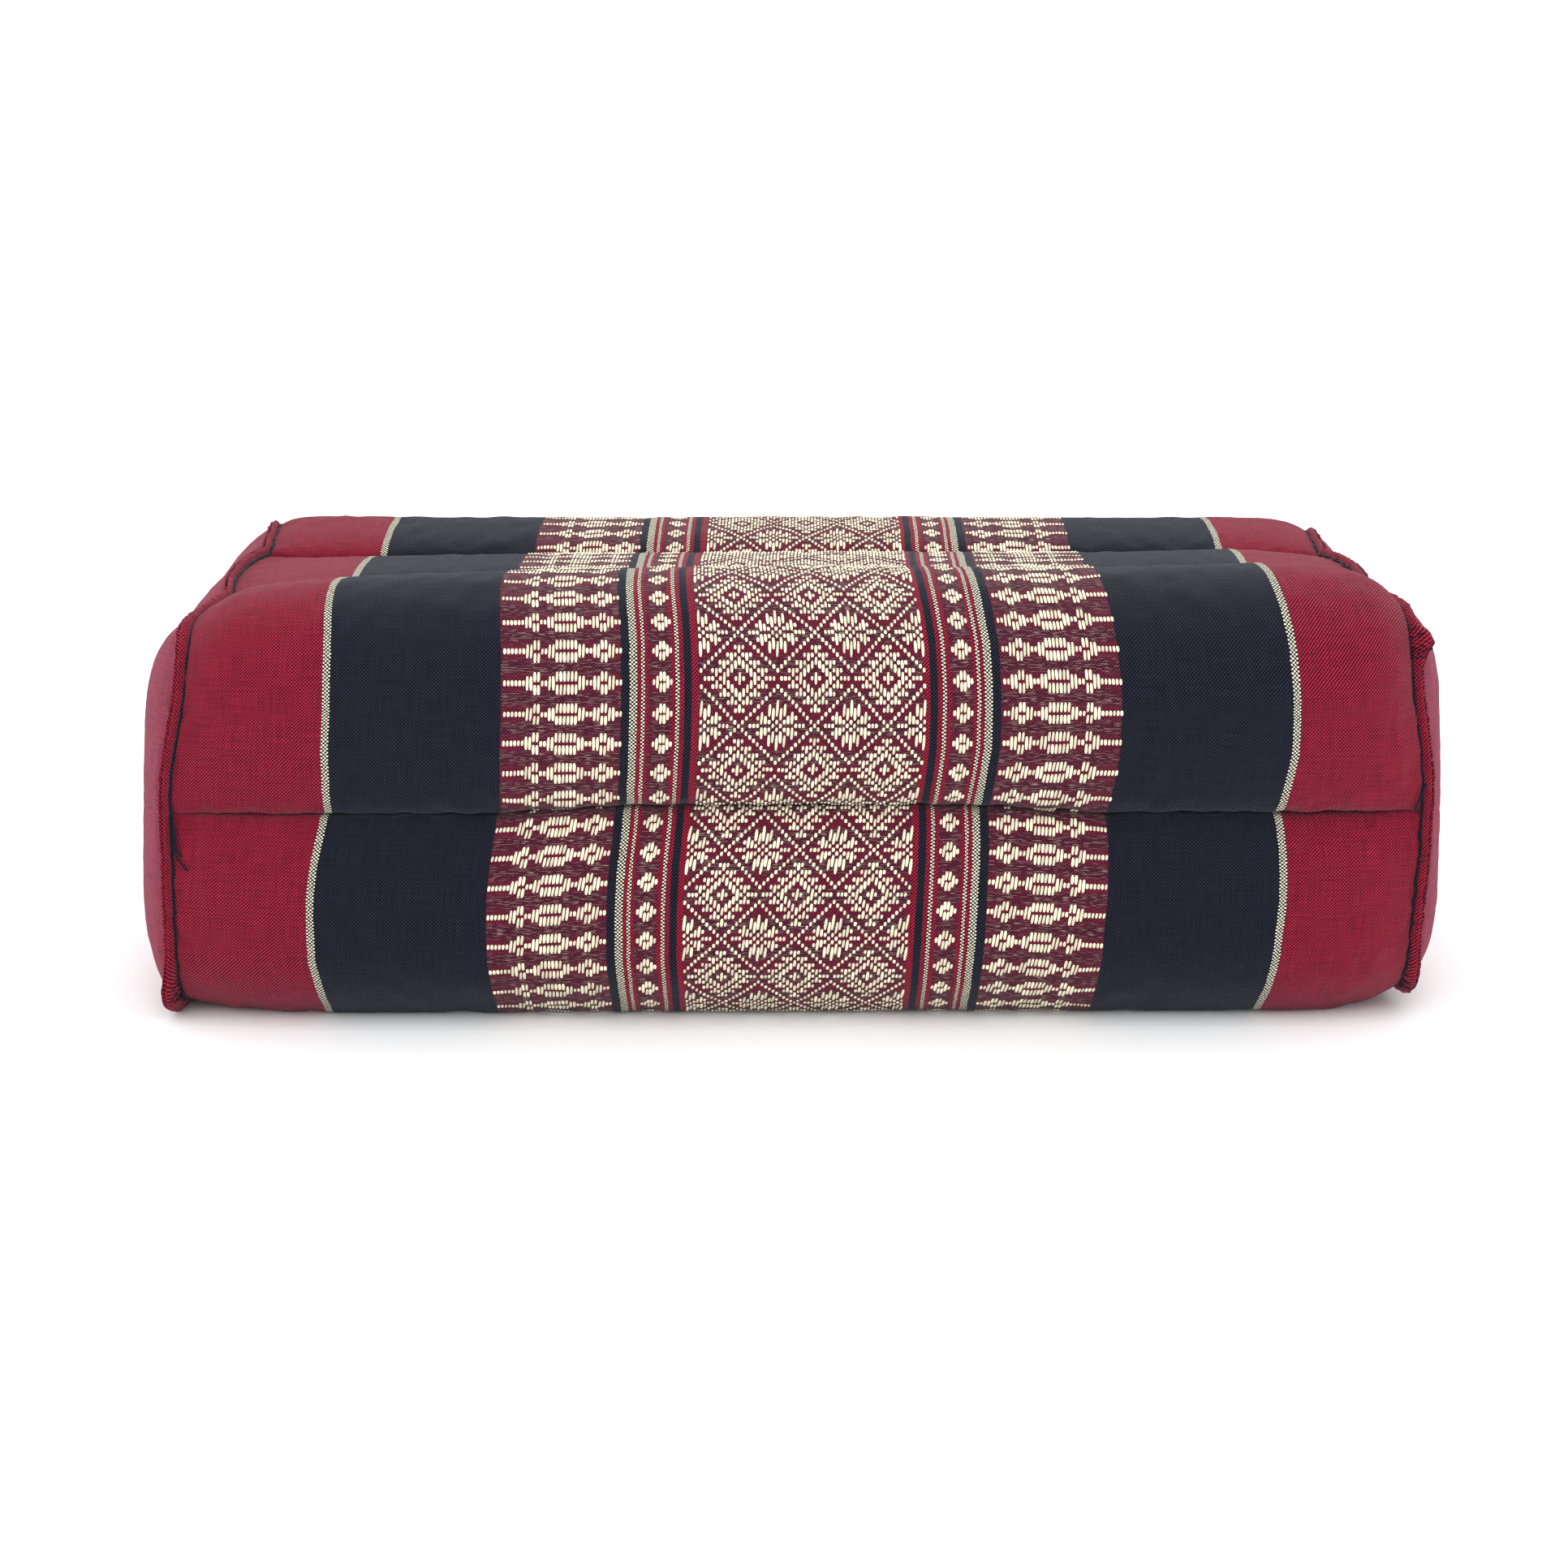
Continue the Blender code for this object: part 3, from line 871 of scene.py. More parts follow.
def plain_cloth_material(name, sizes, colours, groups, warp, weft):
    """Plain cloth of two colours of thread, woven along the piece's own cloth coordinates."""
    material, tree, shader = cloth_shader(name, sizes, colours)
    weave = use_group(
        tree, groups["plain_weave"],
        {
            "Place": cloth_place(tree), "Pitch": sizes.thread_pitch, "Warp": rgba(warp),
            "Weft": rgba(weft), "Warp Share": 0.5, "Slant": 0.25, "Slubs": 0.35,
        },
    )
    finish_cloth(tree, shader, weave.outputs["Colour"], weave.outputs["Height"], sizes.relief)
    return material


# How a thread's brightness varies: from one length of it to the next, and along its fibres
FIBRE_SCALE = 2600.0          # noise cells in a metre
DARKEST_TONE = 0.78
TONE_SPREAD = 0.28
FIBRE_TONE = 0.5
FIBRE_RELIEF = 0.00015


def thread_material(name, sizes, colours, colour):
    """Soft cotton thread with fine fibres along it and a tone of its own for each length of it."""
    material, tree, shader = cloth_shader(name, sizes, colours)
    place = add_node(tree, "ShaderNodeTexCoord").outputs["Object"]
    fibres = noise_at(tree, place, FIBRE_SCALE, Detail=3.0)
    tone = add_node(tree, "ShaderNodeAttribute", attribute_name="tone").outputs["Fac"]
    bright = maths(tree, "MULTIPLY_ADD", tone, TONE_SPREAD, DARKEST_TONE)
    bright = maths(tree, "MULTIPLY_ADD", maths(tree, "SUBTRACT", fibres, 0.5), FIBRE_TONE, bright)
    finish_cloth(tree, shader, toned(tree, tuple(colour), bright), fibres, FIBRE_RELIEF)
    return material


# Geometry node helpers


def new_tree(name, inputs):
    """An empty geometry tree. Inputs are (name, kind, default). Returns it and its sockets."""
    tree = bpy.data.node_groups.new(name, "GeometryNodeTree")
    tree.interface.new_socket("Geometry", in_out="INPUT", socket_type="NodeSocketGeometry")
    for socket_name, kind, default in inputs:
        socket = tree.interface.new_socket(socket_name, in_out="INPUT", socket_type=kind)
        if default is not None:
            socket.default_value = default
    tree.interface.new_socket("Geometry", in_out="OUTPUT", socket_type="NodeSocketGeometry")
    given = tree.nodes.new("NodeGroupInput").outputs
    result = tree.nodes.new("NodeGroupOutput").inputs
    return tree, given, result


def made_by_tree(obj, tree, values):
    """Runs a geometry tree on an object and leaves the result as the object's plain mesh."""
    modifier = obj.modifiers.new(tree.name, "NODES")
    modifier.node_group = tree
    sockets = {
        item.name: item.identifier for item in tree.interface.items_tree
        if item.item_type == "SOCKET" and item.in_out == "INPUT"
    }
    for name, value in values.items():
        modifier[sockets[name]] = value
    bpy.context.view_layer.update()
    plain_mesh(obj)
    if not len(obj.data.polygons):
        raise RuntimeError(f"{obj.name} came out empty")
    return obj


def combine(tree, x=0.0, y=0.0, z=0.0):
    return add_node(tree, "ShaderNodeCombineXYZ", {0: x, 1: y, 2: z}).outputs[0]


def vector_maths(tree, operation, *values, **links):
    links.update(enumerate(values))
    return add_node(tree, "ShaderNodeVectorMath", links, operation=operation).outputs["Vector"]


def named(tree, name, data_type="FLOAT_VECTOR"):
    made = add_node(tree, "GeometryNodeInputNamedAttribute", {"Name": name}, data_type=data_type)
    return enabled_socket(made.outputs)


def with_attribute(tree, geometry, name, value, data_type):
    """The geometry with a value stored on its points under a name."""
    made = add_node(
        tree, "GeometryNodeStoreNamedAttribute", {"Geometry": geometry, "Name": name},
        data_type=data_type, domain="POINT",
    )
    tree.links.new(value, enabled_socket(made.inputs, "Value"))
    return made.outputs[0]


def random_value(tree, low, high, seed, data_type="FLOAT"):
    """A value drawn between low and high for each point, from a fixed seed."""
    made = add_node(tree, "FunctionNodeRandomValue", {"Seed": seed}, data_type=data_type)
    fill_sockets(tree, made.inputs, (low, high))
    return enabled_socket(made.outputs)


def position(tree):
    return add_node(tree, "GeometryNodeInputPosition").outputs[0]


def moved(tree, geometry, **links):
    """The geometry with its points set to a Position or moved by an Offset."""
    return add_node(tree, "GeometryNodeSetPosition", {"Geometry": geometry, **links}).outputs[0]


def realised(tree, geometry):
    return add_node(tree, "GeometryNodeRealizeInstances", {"Geometry": geometry}).outputs[0]


def above_floor(tree, geometry):
    """The geometry with no point under the floor."""
    parts = parts_of(tree, position(tree))
    place = combine(tree, parts[0], parts[1], maths(tree, "MAXIMUM", parts[2], 0.0))
    return moved(tree, geometry, Position=place)


def finish_tree(tree, given, result, geometry):
    """Ends a tree with smooth shading and the material that it was given."""
    smooth = add_node(tree, "GeometryNodeSetShadeSmooth", {"Geometry": geometry}).outputs[0]
    links = {"Geometry": smooth, "Material": given["Material"]}
    tree.links.new(add_node(tree, "GeometryNodeSetMaterial", links).outputs[0], result[0])
    return tree


def float_shape(tree):
    """One unit of figuring thread: a soft grain, 1 long, 1 wide and 1 high, lying along Y."""
    grid = add_node(
        tree, "GeometryNodeMeshGrid", {"Size X": 1.0, "Size Y": 1.0, "Vertices X": 3, "Vertices Y": 5}
    )
    parts = parts_of(tree, position(tree))
    across = maths(tree, "MULTIPLY", parts[0], 2.0)
    along = maths(tree, "ABSOLUTE", maths(tree, "MULTIPLY", parts[1], 2.0))
    taper = maths(tree, "MULTIPLY_ADD", maths(tree, "POWER", along, 3.0), -0.4, 1.0)
    ends = maths(tree, "SQRT", maths(tree, "SUBTRACT", 1.0, maths(tree, "POWER", along, 4.0), clamp=True))
    rise = maths(tree, "MULTIPLY", ends, maths(tree, "SUBTRACT", 1.0, maths(tree, "ABSOLUTE", across)))
    place = combine(tree, maths(tree, "MULTIPLY", parts[0], taper), parts[1], rise)
    return moved(tree, grid.outputs["Mesh"], Position=place)


def brocade_tree():
    """Lays a chart of figuring threads over the wrap. The chart's points are cloth coordinates in metres."""
    tree, given, result = new_tree(
        "brocade",
        (
            ("Wrap", "NodeSocketObject", None),
            ("Thread Width", "NodeSocketFloat", 0.0008),
            ("Thread Height", "NodeSocketFloat", 0.0003),
            ("Lift", "NodeSocketFloat", 0.0001),
            ("Low Size", "NodeSocketFloat", 0.88),
            ("High Size", "NodeSocketFloat", 1.12),
            ("Sway", "NodeSocketFloat", math.radians(2.5)),
            ("Seed", "NodeSocketInt", 4),
            ("Material", "NodeSocketMaterial", None),
        ),
    )
    uneven = random_value(tree, given["Low Size"], given["High Size"], given["Seed"])
    size = combine(
        tree, maths(tree, "MULTIPLY", given["Thread Width"], uneven), named(tree, "length", "FLOAT"),
        maths(tree, "MULTIPLY", given["Thread Height"], uneven),
    )
    sway = maths(tree, "MULTIPLY", random_value(tree, -1.0, 1.0, given["Seed"]), given["Sway"])
    lean = maths(tree, "SUBTRACT", sway, named(tree, "lean", "FLOAT"))
    tone = random_value(tree, 0.0, 1.0, given["Seed"])
    copies = add_node(
        tree, "GeometryNodeInstanceOnPoints",
        {
            "Points": with_attribute(tree, given["Geometry"], "tone", tone, "FLOAT"),
            "Instance": float_shape(tree), "Scale": size, "Rotation": combine(tree, 0.0, 0.0, lean),
        },
    )
    wrap = add_node(tree, "GeometryNodeObjectInfo", {"Object": given["Wrap"]}, transform_space="RELATIVE")
    here = position(tree)
    samples = []
    for value in (here, add_node(tree, "GeometryNodeInputNormal").outputs[0]):
        sample = add_node(
            tree, "GeometryNodeSampleUVSurface",
            {"Mesh": wrap.outputs["Geometry"], "UV Map": named(tree, "cloth"), "Sample UV": here},
            data_type="FLOAT_VECTOR",
        )
        tree.links.new(value, enabled_socket(sample.inputs, "Value"))
        samples.append(sample)
    surface, normal = (enabled_socket(sample.outputs) for sample in samples)
    height = maths(tree, "ADD", parts_of(tree, here)[2], given["Lift"])
    raised = vector_maths(tree, "ADD", surface, vector_maths(tree, "SCALE", normal, Scale=height))
    outside = add_node(tree, "FunctionNodeBooleanMath", {0: samples[0].outputs["Is Valid"]}, operation="NOT")
    marked = with_attribute(
        tree, realised(tree, copies.outputs[0]), "hidden", outside.outputs[0], "BOOLEAN"
    )
    kept = add_node(
        tree, "GeometryNodeDeleteGeometry",
        {"Geometry": moved(tree, marked, Position=raised), "Selection": named(tree, "hidden", "BOOLEAN")},
        domain="POINT",
    )
    return finish_tree(tree, given, result, kept.outputs[0])


# The brocade chart. Each list gives, for columns 0, 1, 2 and on outward from a figure's own centre, the
# floats of that column as (first row, last row). Both sides of a figure are alike.
SHORTEST_FLOAT = 0.5 * MM     # a shorter piece of a float isn't made
CHANNEL_MARGIN = 0.0004       # how far the floats stop short of a channel
COLUMN = 1.04 * MM
ROW = CHART_ROW / 8
DIAMOND = (
    ((-8, -7), (-5, -4), (-1, 1), (4, 5), (7, 8)),
    ((-8, -8), (-6, -6), (-4, -3), (0, 0), (3, 4), (6, 6), (8, 8)),
    ((-6, -5), (-3, -2), (2, 3), (5, 6)),
    ((-6, -6), (-4, -4), (-2, -1), (1, 2), (4, 4), (6, 6)),
    ((-4, -3), (-1, 1), (3, 4)),
    ((-4, -4), (-2, -2), (0, 0), (2, 2), (4, 4)),
    ((-2, -1), (1, 2)),
    ((-2, -2), (0, 0), (2, 2)),
    ((0, 0),),
    ((0, 0),),
)
STAR_FLOWER = (
    ((-6, -3), (-1, -1), (1, 1), (3, 6)),
    ((-4, -2), (0, 0), (2, 4)),
    ((-5, -3), (-1, -1), (1, 1), (3, 5)),
    ((-2, -1), (1, 2)),
    ((-3, -1), (1, 3)),
    ((-2, -2), (0, 0), (2, 2)),
    ((0, 0),),
    ((0, 0),),
)
UPPER_FIGURE = 18.35 * MM     # a diamond's centre over the front channel, as a cloth coordinate
LOWER_FIGURE = -30.2 * MM     # the same under it
CENTRE_EXTRA = 0.12 * MM      # how much longer a centre float is than its rows
UPPER_LEAN = math.radians(1.5)  # how far the floats over the front channel lean
LOWER_LEAN = math.radians(6.0)  # the same under it
CENTRE_HALF = 31.5 * MM       # half the width of the centre band
UPPER_SHIFT = 0.5 * MM        # how far right of the stripes' middle the figuring over that channel lies
# How far right its own middle lies, by cloth coordinate, both in millimetres
MIDDLE_SHIFTS = ((3, 2.3), (21, 1.25), (33, 1.05), (55, 1.65), (66, 1.9), (100, 1.2))
LATTICE_REACH = 12            # rows from a diamond's centre to the dots over and under it
CENTRE_HALF_COLUMNS = 30
FIGURE_COLUMNS = 20           # from one diamond to the next
FIGURE_ROWS = 24

# Bands of spindles: single (S), middle (M) and paired (P) floats, from the outer edge inward
SPINDLE_BAND = "SSSSSSMMPPSSMMPPPPPPMMSSMMPPMMSS"
SPINDLE_SIZES = {"S": (1.55 * MM,), "M": (3.8 * MM,), "P": (2.7 * MM, 2.7 * MM)}
SPINDLE_GAP = 0.85 * MM
SPINDLE_OUTER = 86.6 * MM
FLOWER_BAND = "SMPPMS"
FLOWER_SIZES = {"S": (1.55 * MM,), "M": (3.4 * MM,), "P": (2.55 * MM, 2.55 * MM)}
FLOWER_GAP = 0.50 * MM
FLOWER_COLUMN = 0.96 * MM
FLOWER_MIDDLE = 41.9 * MM
SIDE_COLUMN = 1.05 * MM


def figure_floats(figure, column, row):
    """(column, first row, last row) of each float of a figure centred at a column and row."""
    floats = []
    for offset, runs in enumerate(figure):
        for sign in ((1,) if offset == 0 else (1, -1)):
            floats += [(column + sign * offset, row + first, row + last) for first, last in runs]
    return floats


def centre_floats():
    """The floats of one repeat of the centre band, as (column, first row, last row)."""
    found = set()
    half = FIGURE_COLUMNS // 2
    for column in range(-2 * FIGURE_COLUMNS, 2 * FIGURE_COLUMNS + 1, FIGURE_COLUMNS):
        for row in (-FIGURE_ROWS, 0, FIGURE_ROWS):
            found.update(figure_floats(DIAMOND, column, row))
            found.update(figure_floats(STAR_FLOWER, column + half, row + LATTICE_REACH))
            for offset in range(-half, half + 1):
                reach = LATTICE_REACH - abs(offset)
                found.add((column + offset, row + reach, row + reach))
                found.add((column + offset, row - reach, row - reach))
    low, high = -FIGURE_ROWS // 2, FIGURE_ROWS // 2
    return sorted(
        (column, first, last) for column, first, last in found
        if abs(column) <= CENTRE_HALF_COLUMNS and low <= (first + last) / 2 < high
    )


def band_floats(band, sizes, gap):
    """(column, offset along the girth, length) of one row of a side band."""
    floats = []
    for column, kind in enumerate(band):
        lengths = sizes[kind]
        if len(lengths) == 1:
            floats.append((column, 0.0, lengths[0]))
            continue
        offset = (gap + lengths[0]) / 2
        floats += [(column, -offset, lengths[0]), (column, offset, lengths[1])]
    return floats


def girth_span():
    """Lowest and highest cloth coordinate round the girth."""
    spans = [cloth_base(roll) for roll in ROLLS]
    return min(low for low, _ in spans), max(high for _, high in spans)


def whole_lengths():
    """Length of cloth across each roll, by name."""
    return {roll.name: float(girth_length(roll)[1][-1]) for roll in ROLLS}


WHOLE = whole_lengths()


def cloth_base(roll):
    """Cloth coordinates of a roll's start and end round the girth. The front channel is at 0."""
    reached = UPPER_TUCK
    for other in ROLLS[:3]:
        if other is roll:
            return reached, reached + WHOLE[other.name]
        reached += WHOLE[other.name] + 2 * TUCK
    reached = -LOWER_TUCK
    for other in reversed(ROLLS[3:]):
        spread = LOWER_STRETCH if other.name == "front_bottom" else 1.0
        if other is roll:
            return reached - WHOLE[other.name] * spread, reached
        reached -= WHOLE[other.name] * spread + 2 * TUCK
    raise ValueError(roll.name)


def hidden_more(roll, x):
    """How much more of the front top roll's cloth its channel hides at x than at mid length."""
    return SIDE_SHIFT * (1 - channel_lift(x) / CHANNEL_LIFT) if roll.name == "front_top" else 0.0


def in_cloth(across, place, length):
    """The part of a float that isn't hidden in a channel, as (middle, length), or None."""
    low, high = place - length / 2, place + length / 2
    for roll in ROLLS:
        start, end = (edge - hidden_more(roll, across) for edge in cloth_base(roll))
        inside_low = max(low, start + CHANNEL_MARGIN)
        inside_high = min(high, end - CHANNEL_MARGIN)
        if inside_high - inside_low > SHORTEST_FLOAT:
            return (inside_low + inside_high) / 2, inside_high - inside_low
    return None


def chart_object(name, floats):
    """A mesh of points in cloth coordinates, with each float's length. Floats are (u, v, length)."""
    kept = []
    for across, place, length in floats:
        shown = in_cloth(across, place, length)
        if shown:
            kept.append((across, *shown))
    mesh = bpy.data.meshes.new(name)
    mesh.from_pydata([(u, v, 0.0) for u, v, _ in kept], [], [])
    add_attribute(mesh, "length", [length for _, _, length in kept])
    add_attribute(mesh, "lean", [UPPER_LEAN if v > 0 else LOWER_LEAN for _, v, _ in kept])
    return add_object(name, mesh)


def float_shift(across, place):
    """How far the figuring over the front channel is drawn to the right of the stripes' middle."""
    if place < 0:
        return 0.0
    places, shifts = zip(*MIDDLE_SHIFTS)
    middle = float(np.interp(place / MM, places, shifts)) * MM
    nearness = max(0.0, 1 - abs(across) / CENTRE_HALF)
    return UPPER_SHIFT + (middle - UPPER_SHIFT) * nearness


def centre_chart():
    """Every float of the centre band, all round the girth."""
    low, high = girth_span()
    repeat = FIGURE_ROWS * ROW
    shared = centre_floats()
    floats = []
    for turn in range(math.floor(low / repeat) - 1, math.ceil(high / repeat) + 2):
        for start, upper in ((UPPER_FIGURE, True), (LOWER_FIGURE, False)):
            for column, first, last in shared:
                place = start + turn * repeat + (first + last) / 2 * ROW
                if (place > 0) == upper:
                    across = column * COLUMN
                    length = (last - first + 1) * ROW + CENTRE_EXTRA
                    floats.append((across + float_shift(across, place), place, length))
    return floats


def side_chart():
    """Every float of the spindle and flower bands on both sides."""
    low, high = girth_span()
    flower_outer = FLOWER_MIDDLE - len(FLOWER_BAND) / 2 * FLOWER_COLUMN
    bands = (
        (band_floats(SPINDLE_BAND, SPINDLE_SIZES, SPINDLE_GAP), SPINDLE_OUTER, -SIDE_COLUMN),
        (band_floats(FLOWER_BAND, FLOWER_SIZES, FLOWER_GAP), flower_outer, FLOWER_COLUMN),
    )
    floats = []
    for row in range(math.floor(low / CHART_ROW), math.ceil(high / CHART_ROW) + 1):
        for sign in (-1, 1):
            for band, first, step in bands:
                for column, offset, length in band:
                    across = sign * (first + (column + 0.5) * step)
                    across += float_shift(across, row * CHART_ROW)
                    floats.append((across, row * CHART_ROW + offset, length))
    return floats


# The wrap

# How the cloth bows across each roll, as the few points that its shape needs: share of the way across,
# where the pattern's centre lies in millimetres from mid length, and how wide the cloth spreads there
CLOTH_BOWS = {
    "front_top": (
        (0.0, 3.0, 0.968), (0.2, 4.5, 0.976), (0.35, 4.9, 0.971), (0.45, 4.4, 0.965),
        (0.6, 2.5, 0.958), (0.75, 1.7, 0.945), (1.0, 2.2, 0.955),
    ),
    "top_middle": ((0.0, 3.0, 0.965), (0.86, 4.1, 0.976), (1.0, 4.2, 0.972)),
    "back_top": ((0.0, 4.4, 0.966), (0.35, 4.8, 0.957), (1.0, 4.6, 0.955)),
    "back_bottom": ((0.0, 4.6, 0.955), (0.5, 4.5, 0.970), (1.0, 4.0, 0.965)),
    "bottom_middle": ((0.0, 3.0, 0.965), (1.0, 2.0, 0.965)),
    "front_bottom": (
        (0.0, 0.5, 0.965), (0.47, 0.4, 0.969), (0.6, 0.4, 0.985), (0.75, 1.0, 0.990),
        (0.85, 1.6, 0.986), (0.95, 2.3, 0.976), (1.0, 2.4, 0.972),
    ),
}
CAP_SHARE = 0.9               # size of the ring that closes an end under its panel, as a share of the end
CAP_FLATNESS = 0.5            # how much of the end's own shape that ring keeps
CAP_RING_OUT = 0.002          # how far the ring and the tip stand out
CAP_TIP_OUT = 0.006
TUCK_DEPTH = 0.002            # how far a channel's seam line is drawn down
TUCK_TURN = 12                # how late that ends toward the end seams, as a power
OFF_CLOTH = 3.0               # cloth coordinates of the hidden caps, far past the pattern


def cloth_bow(roll, share):
    """Where the pattern's centre lies at a share across a roll, and how wide the cloth spreads."""
    shares, centres, spreads = zip(*CLOTH_BOWS[roll.name])
    return float(np.interp(share, shares, centres)) * MM, float(np.interp(share, shares, spreads))


def cloth_coordinates():
    """Cloth coordinates of each face corner of the wrap, in the order of its faces."""
    corners = []
    for station in range(LENGTH_STEPS):
        stations = [LENGTHS[station] + MIDDLE_X, LENGTHS[station + 1] + MIDDLE_X]
        for index, (roll, share, length, whole) in enumerate(GIRTH):
            following = GIRTH[(index + 1) % ROUND]
            same = following[0] is roll
            next_share = following[1] if same else 1.0
            next_length = following[2] if same else whole
            start, end = cloth_base(roll)
            places = []
            for place_share, place_length in ((share, length), (next_share, next_length)):
                centre, spread = cloth_bow(roll, place_share)
                reached = start + (end - start) * place_length / whole
                for x in stations:
                    places.append(((x - centre) / spread, reached - hidden_more(roll, x)))
            corners += [places[0], places[1], places[3], places[2]]
    return corners


def close_ends(points, faces):
    """Adds a ring and a tip at each end under the panels, so that the filled wrap is a closed form."""
    points = list(map(tuple, points))
    faces = [tuple(map(int, face)) for face in faces]
    for side, ring in ((-1, WRAP_GRID[0]), (1, WRAP_GRID[-1])):
        centre = np.array(end_centre(side))
        first = len(points)
        for index in ring:
            inner = centre + (np.array(points[index]) - centre) * CAP_SHARE
            inner[0] = centre[0] + (points[index][0] - centre[0]) * CAP_FLATNESS + side * CAP_RING_OUT
            points.append(tuple(inner))
        tip = len(points)
        points.append(tuple(centre + np.array((side * CAP_TIP_OUT, 0, 0))))
        for index in range(ROUND):
            following = (index + 1) % ROUND
            faces.append((int(ring[index]), int(ring[following]), first + following, first + index))
            faces.append((first + index, first + following, tip))
    return points, faces


def tuck_channels(points):
    """Draws each channel's seam line down between its two rolls."""
    tucked = points.copy()
    for index in CHANNELS:
        roll = GIRTH[index][0]
        if roll.start.y == FRONT.y:
            way = (0.0, 1.0 if roll.start.x < 0 else -1.0, 0.0)
        else:
            way = (0.0, 0.0, -1.0 if roll.start.y > FRONT.y else 1.0)
        for station in range(LENGTH_STEPS + 1):
            fade = 1 - end_share(LENGTHS[station]) ** TUCK_TURN
            tucked[WRAP_GRID[station, index]] += np.array(way) * TUCK_DEPTH * fade
    return tucked


def build_wrap(points, material):
    faces = grid_faces(WRAP_GRID, closed=True)
    coordinates = cloth_coordinates()
    used = tuck_channels(points)[: WRAP_GRID.size]
    all_points, all_faces = close_ends(used, faces)
    wrap = new_mesh_object("filled_wrap", all_points, all_faces)
    flat = np.full((len(wrap.data.loops), 2), OFF_CLOTH, np.float32)
    flat[: len(coordinates)] = coordinates
    set_cloth_coordinates(wrap.data, flat)
    edges = np.zeros(len(wrap.data.edges) * 2, np.int32)
    wrap.data.edges.foreach_get("vertices", edges)
    edges = edges.reshape(-1, 2)
    sharp = np.zeros(len(edges), bool)
    for line in (WRAP_GRID[:, CHANNELS], WRAP_GRID[[0, -1]]):
        on_line = np.zeros(len(all_points), bool)
        on_line[line.ravel()] = True
        sharp |= on_line[edges[:, 0]] & on_line[edges[:, 1]]
    crease = wrap.data.attributes.new("crease_edge", "FLOAT", "EDGE")
    crease.data.foreach_set("value", sharp.astype(np.float32))
    face_outwards(wrap)
    add_finer(wrap).boundary_smooth = "PRESERVE_CORNERS"
    plain_mesh(wrap)
    set_material(wrap, material)
    return wrap


# End panels

PANEL_GAP = 0.0005            # between an end panel and the form under it


def build_panel(side, points, sizes, material):
    """The crowned end panel, from the form's end grid, with cloth coordinates by length along the grid."""
    grid = END_GRIDS[side]
    places = points[grid]
    down = np.linalg.norm(np.diff(places, axis=1), axis=2)
    across = np.linalg.norm(np.diff(places, axis=0), axis=2)
    v = np.concatenate([np.zeros((len(grid), 1)), np.cumsum(down, axis=1)], axis=1)
    u = np.concatenate([np.zeros((1, grid.shape[1])), np.cumsum(across, axis=0)], axis=0)
    v -= v[:, -1:] / 2
    u -= u[-1:] / 2
    faces = grid_faces(np.arange(grid.size).reshape(grid.shape))
    panel = new_mesh_object(f"panel_cloth_{END_NAMES[side]}", places.reshape(-1, 3), faces)
    corners = faces.ravel()
    set_cloth_coordinates(panel.data, np.stack([u.ravel()[corners], v.ravel()[corners]], axis=1))
    shape = bmesh.new()
    shape.from_mesh(panel.data)
    shape.normal_update()
    if sum(face.normal.x * face.calc_area() for face in shape.faces) * side < 0:
        bmesh.ops.reverse_faces(shape, faces=shape.faces)
        shape.normal_update()
    for vertex in shape.verts:
        vertex.co += vertex.normal * PANEL_GAP
    shape.to_mesh(panel.data)
    shape.free()
    add_finer(panel)
    wall = panel.modifiers.new("cloth", "SOLIDIFY")
    wall.thickness = sizes.cloth_thickness
    wall.offset = 1.0
    plain_mesh(panel)
    set_material(panel, material)
    return panel


# Raised end seams

# Section of the raised seam: across it from the wrap to the panel, and up, in millimetres. Two folded edges
# stand side by side with a crease between them.
SEAM_SECTION = (
    (-0.95, -0.90), (-1.20, 0.10), (-1.36, 0.90), (-1.34, 1.70), (-1.04, 2.40), (-0.60, 2.58), (-0.15, 1.95),
    (0.15, 1.95), (0.58, 2.62), (1.02, 2.42), (1.32, 1.70), (1.34, 0.85), (1.18, 0.05), (0.90, -0.90),
)
SEAM_STEP = 0.65 * MM         # along the seam, from one section to the next
SEAM_FOOT = 1.6 * MM
SEAM_EDGE_SIZE = 0.988
SEAM_HEIGHT = 3.0 * MM
SEAM_TOP = 2.5                # height of the section over which it turns uneven, in millimetres
BITE_RUN = 2.3 * MM           # length of one bite of the overcast thread into the folded edges
BITE_WIDTH = 0.16             # how much wider or narrower the edges are where it bites
LEAN_RUN = 9.0 * MM           # length over which the edges lean to one side
LEAN_REACH = 0.35             # how far they lean, in millimetres
SEAM_FLOOR = 0.0002           # least height over the floor
RAIL_SMOOTHING = 6            # times that the rail's ways out and along are smoothed

Rail = namedtuple("Rail", "points out across along ear places")


def ear_reach(side, roll, share):
    """How far the cloth's ear stands out past the rest of the seam at a share across a roll."""
    if roll.corner is None:
        return 0.0
    corner = end_corner(side, roll.name)
    nearness = (share - corner.share) / corner.spread
    return corner.reach * math.exp(-(nearness**2))


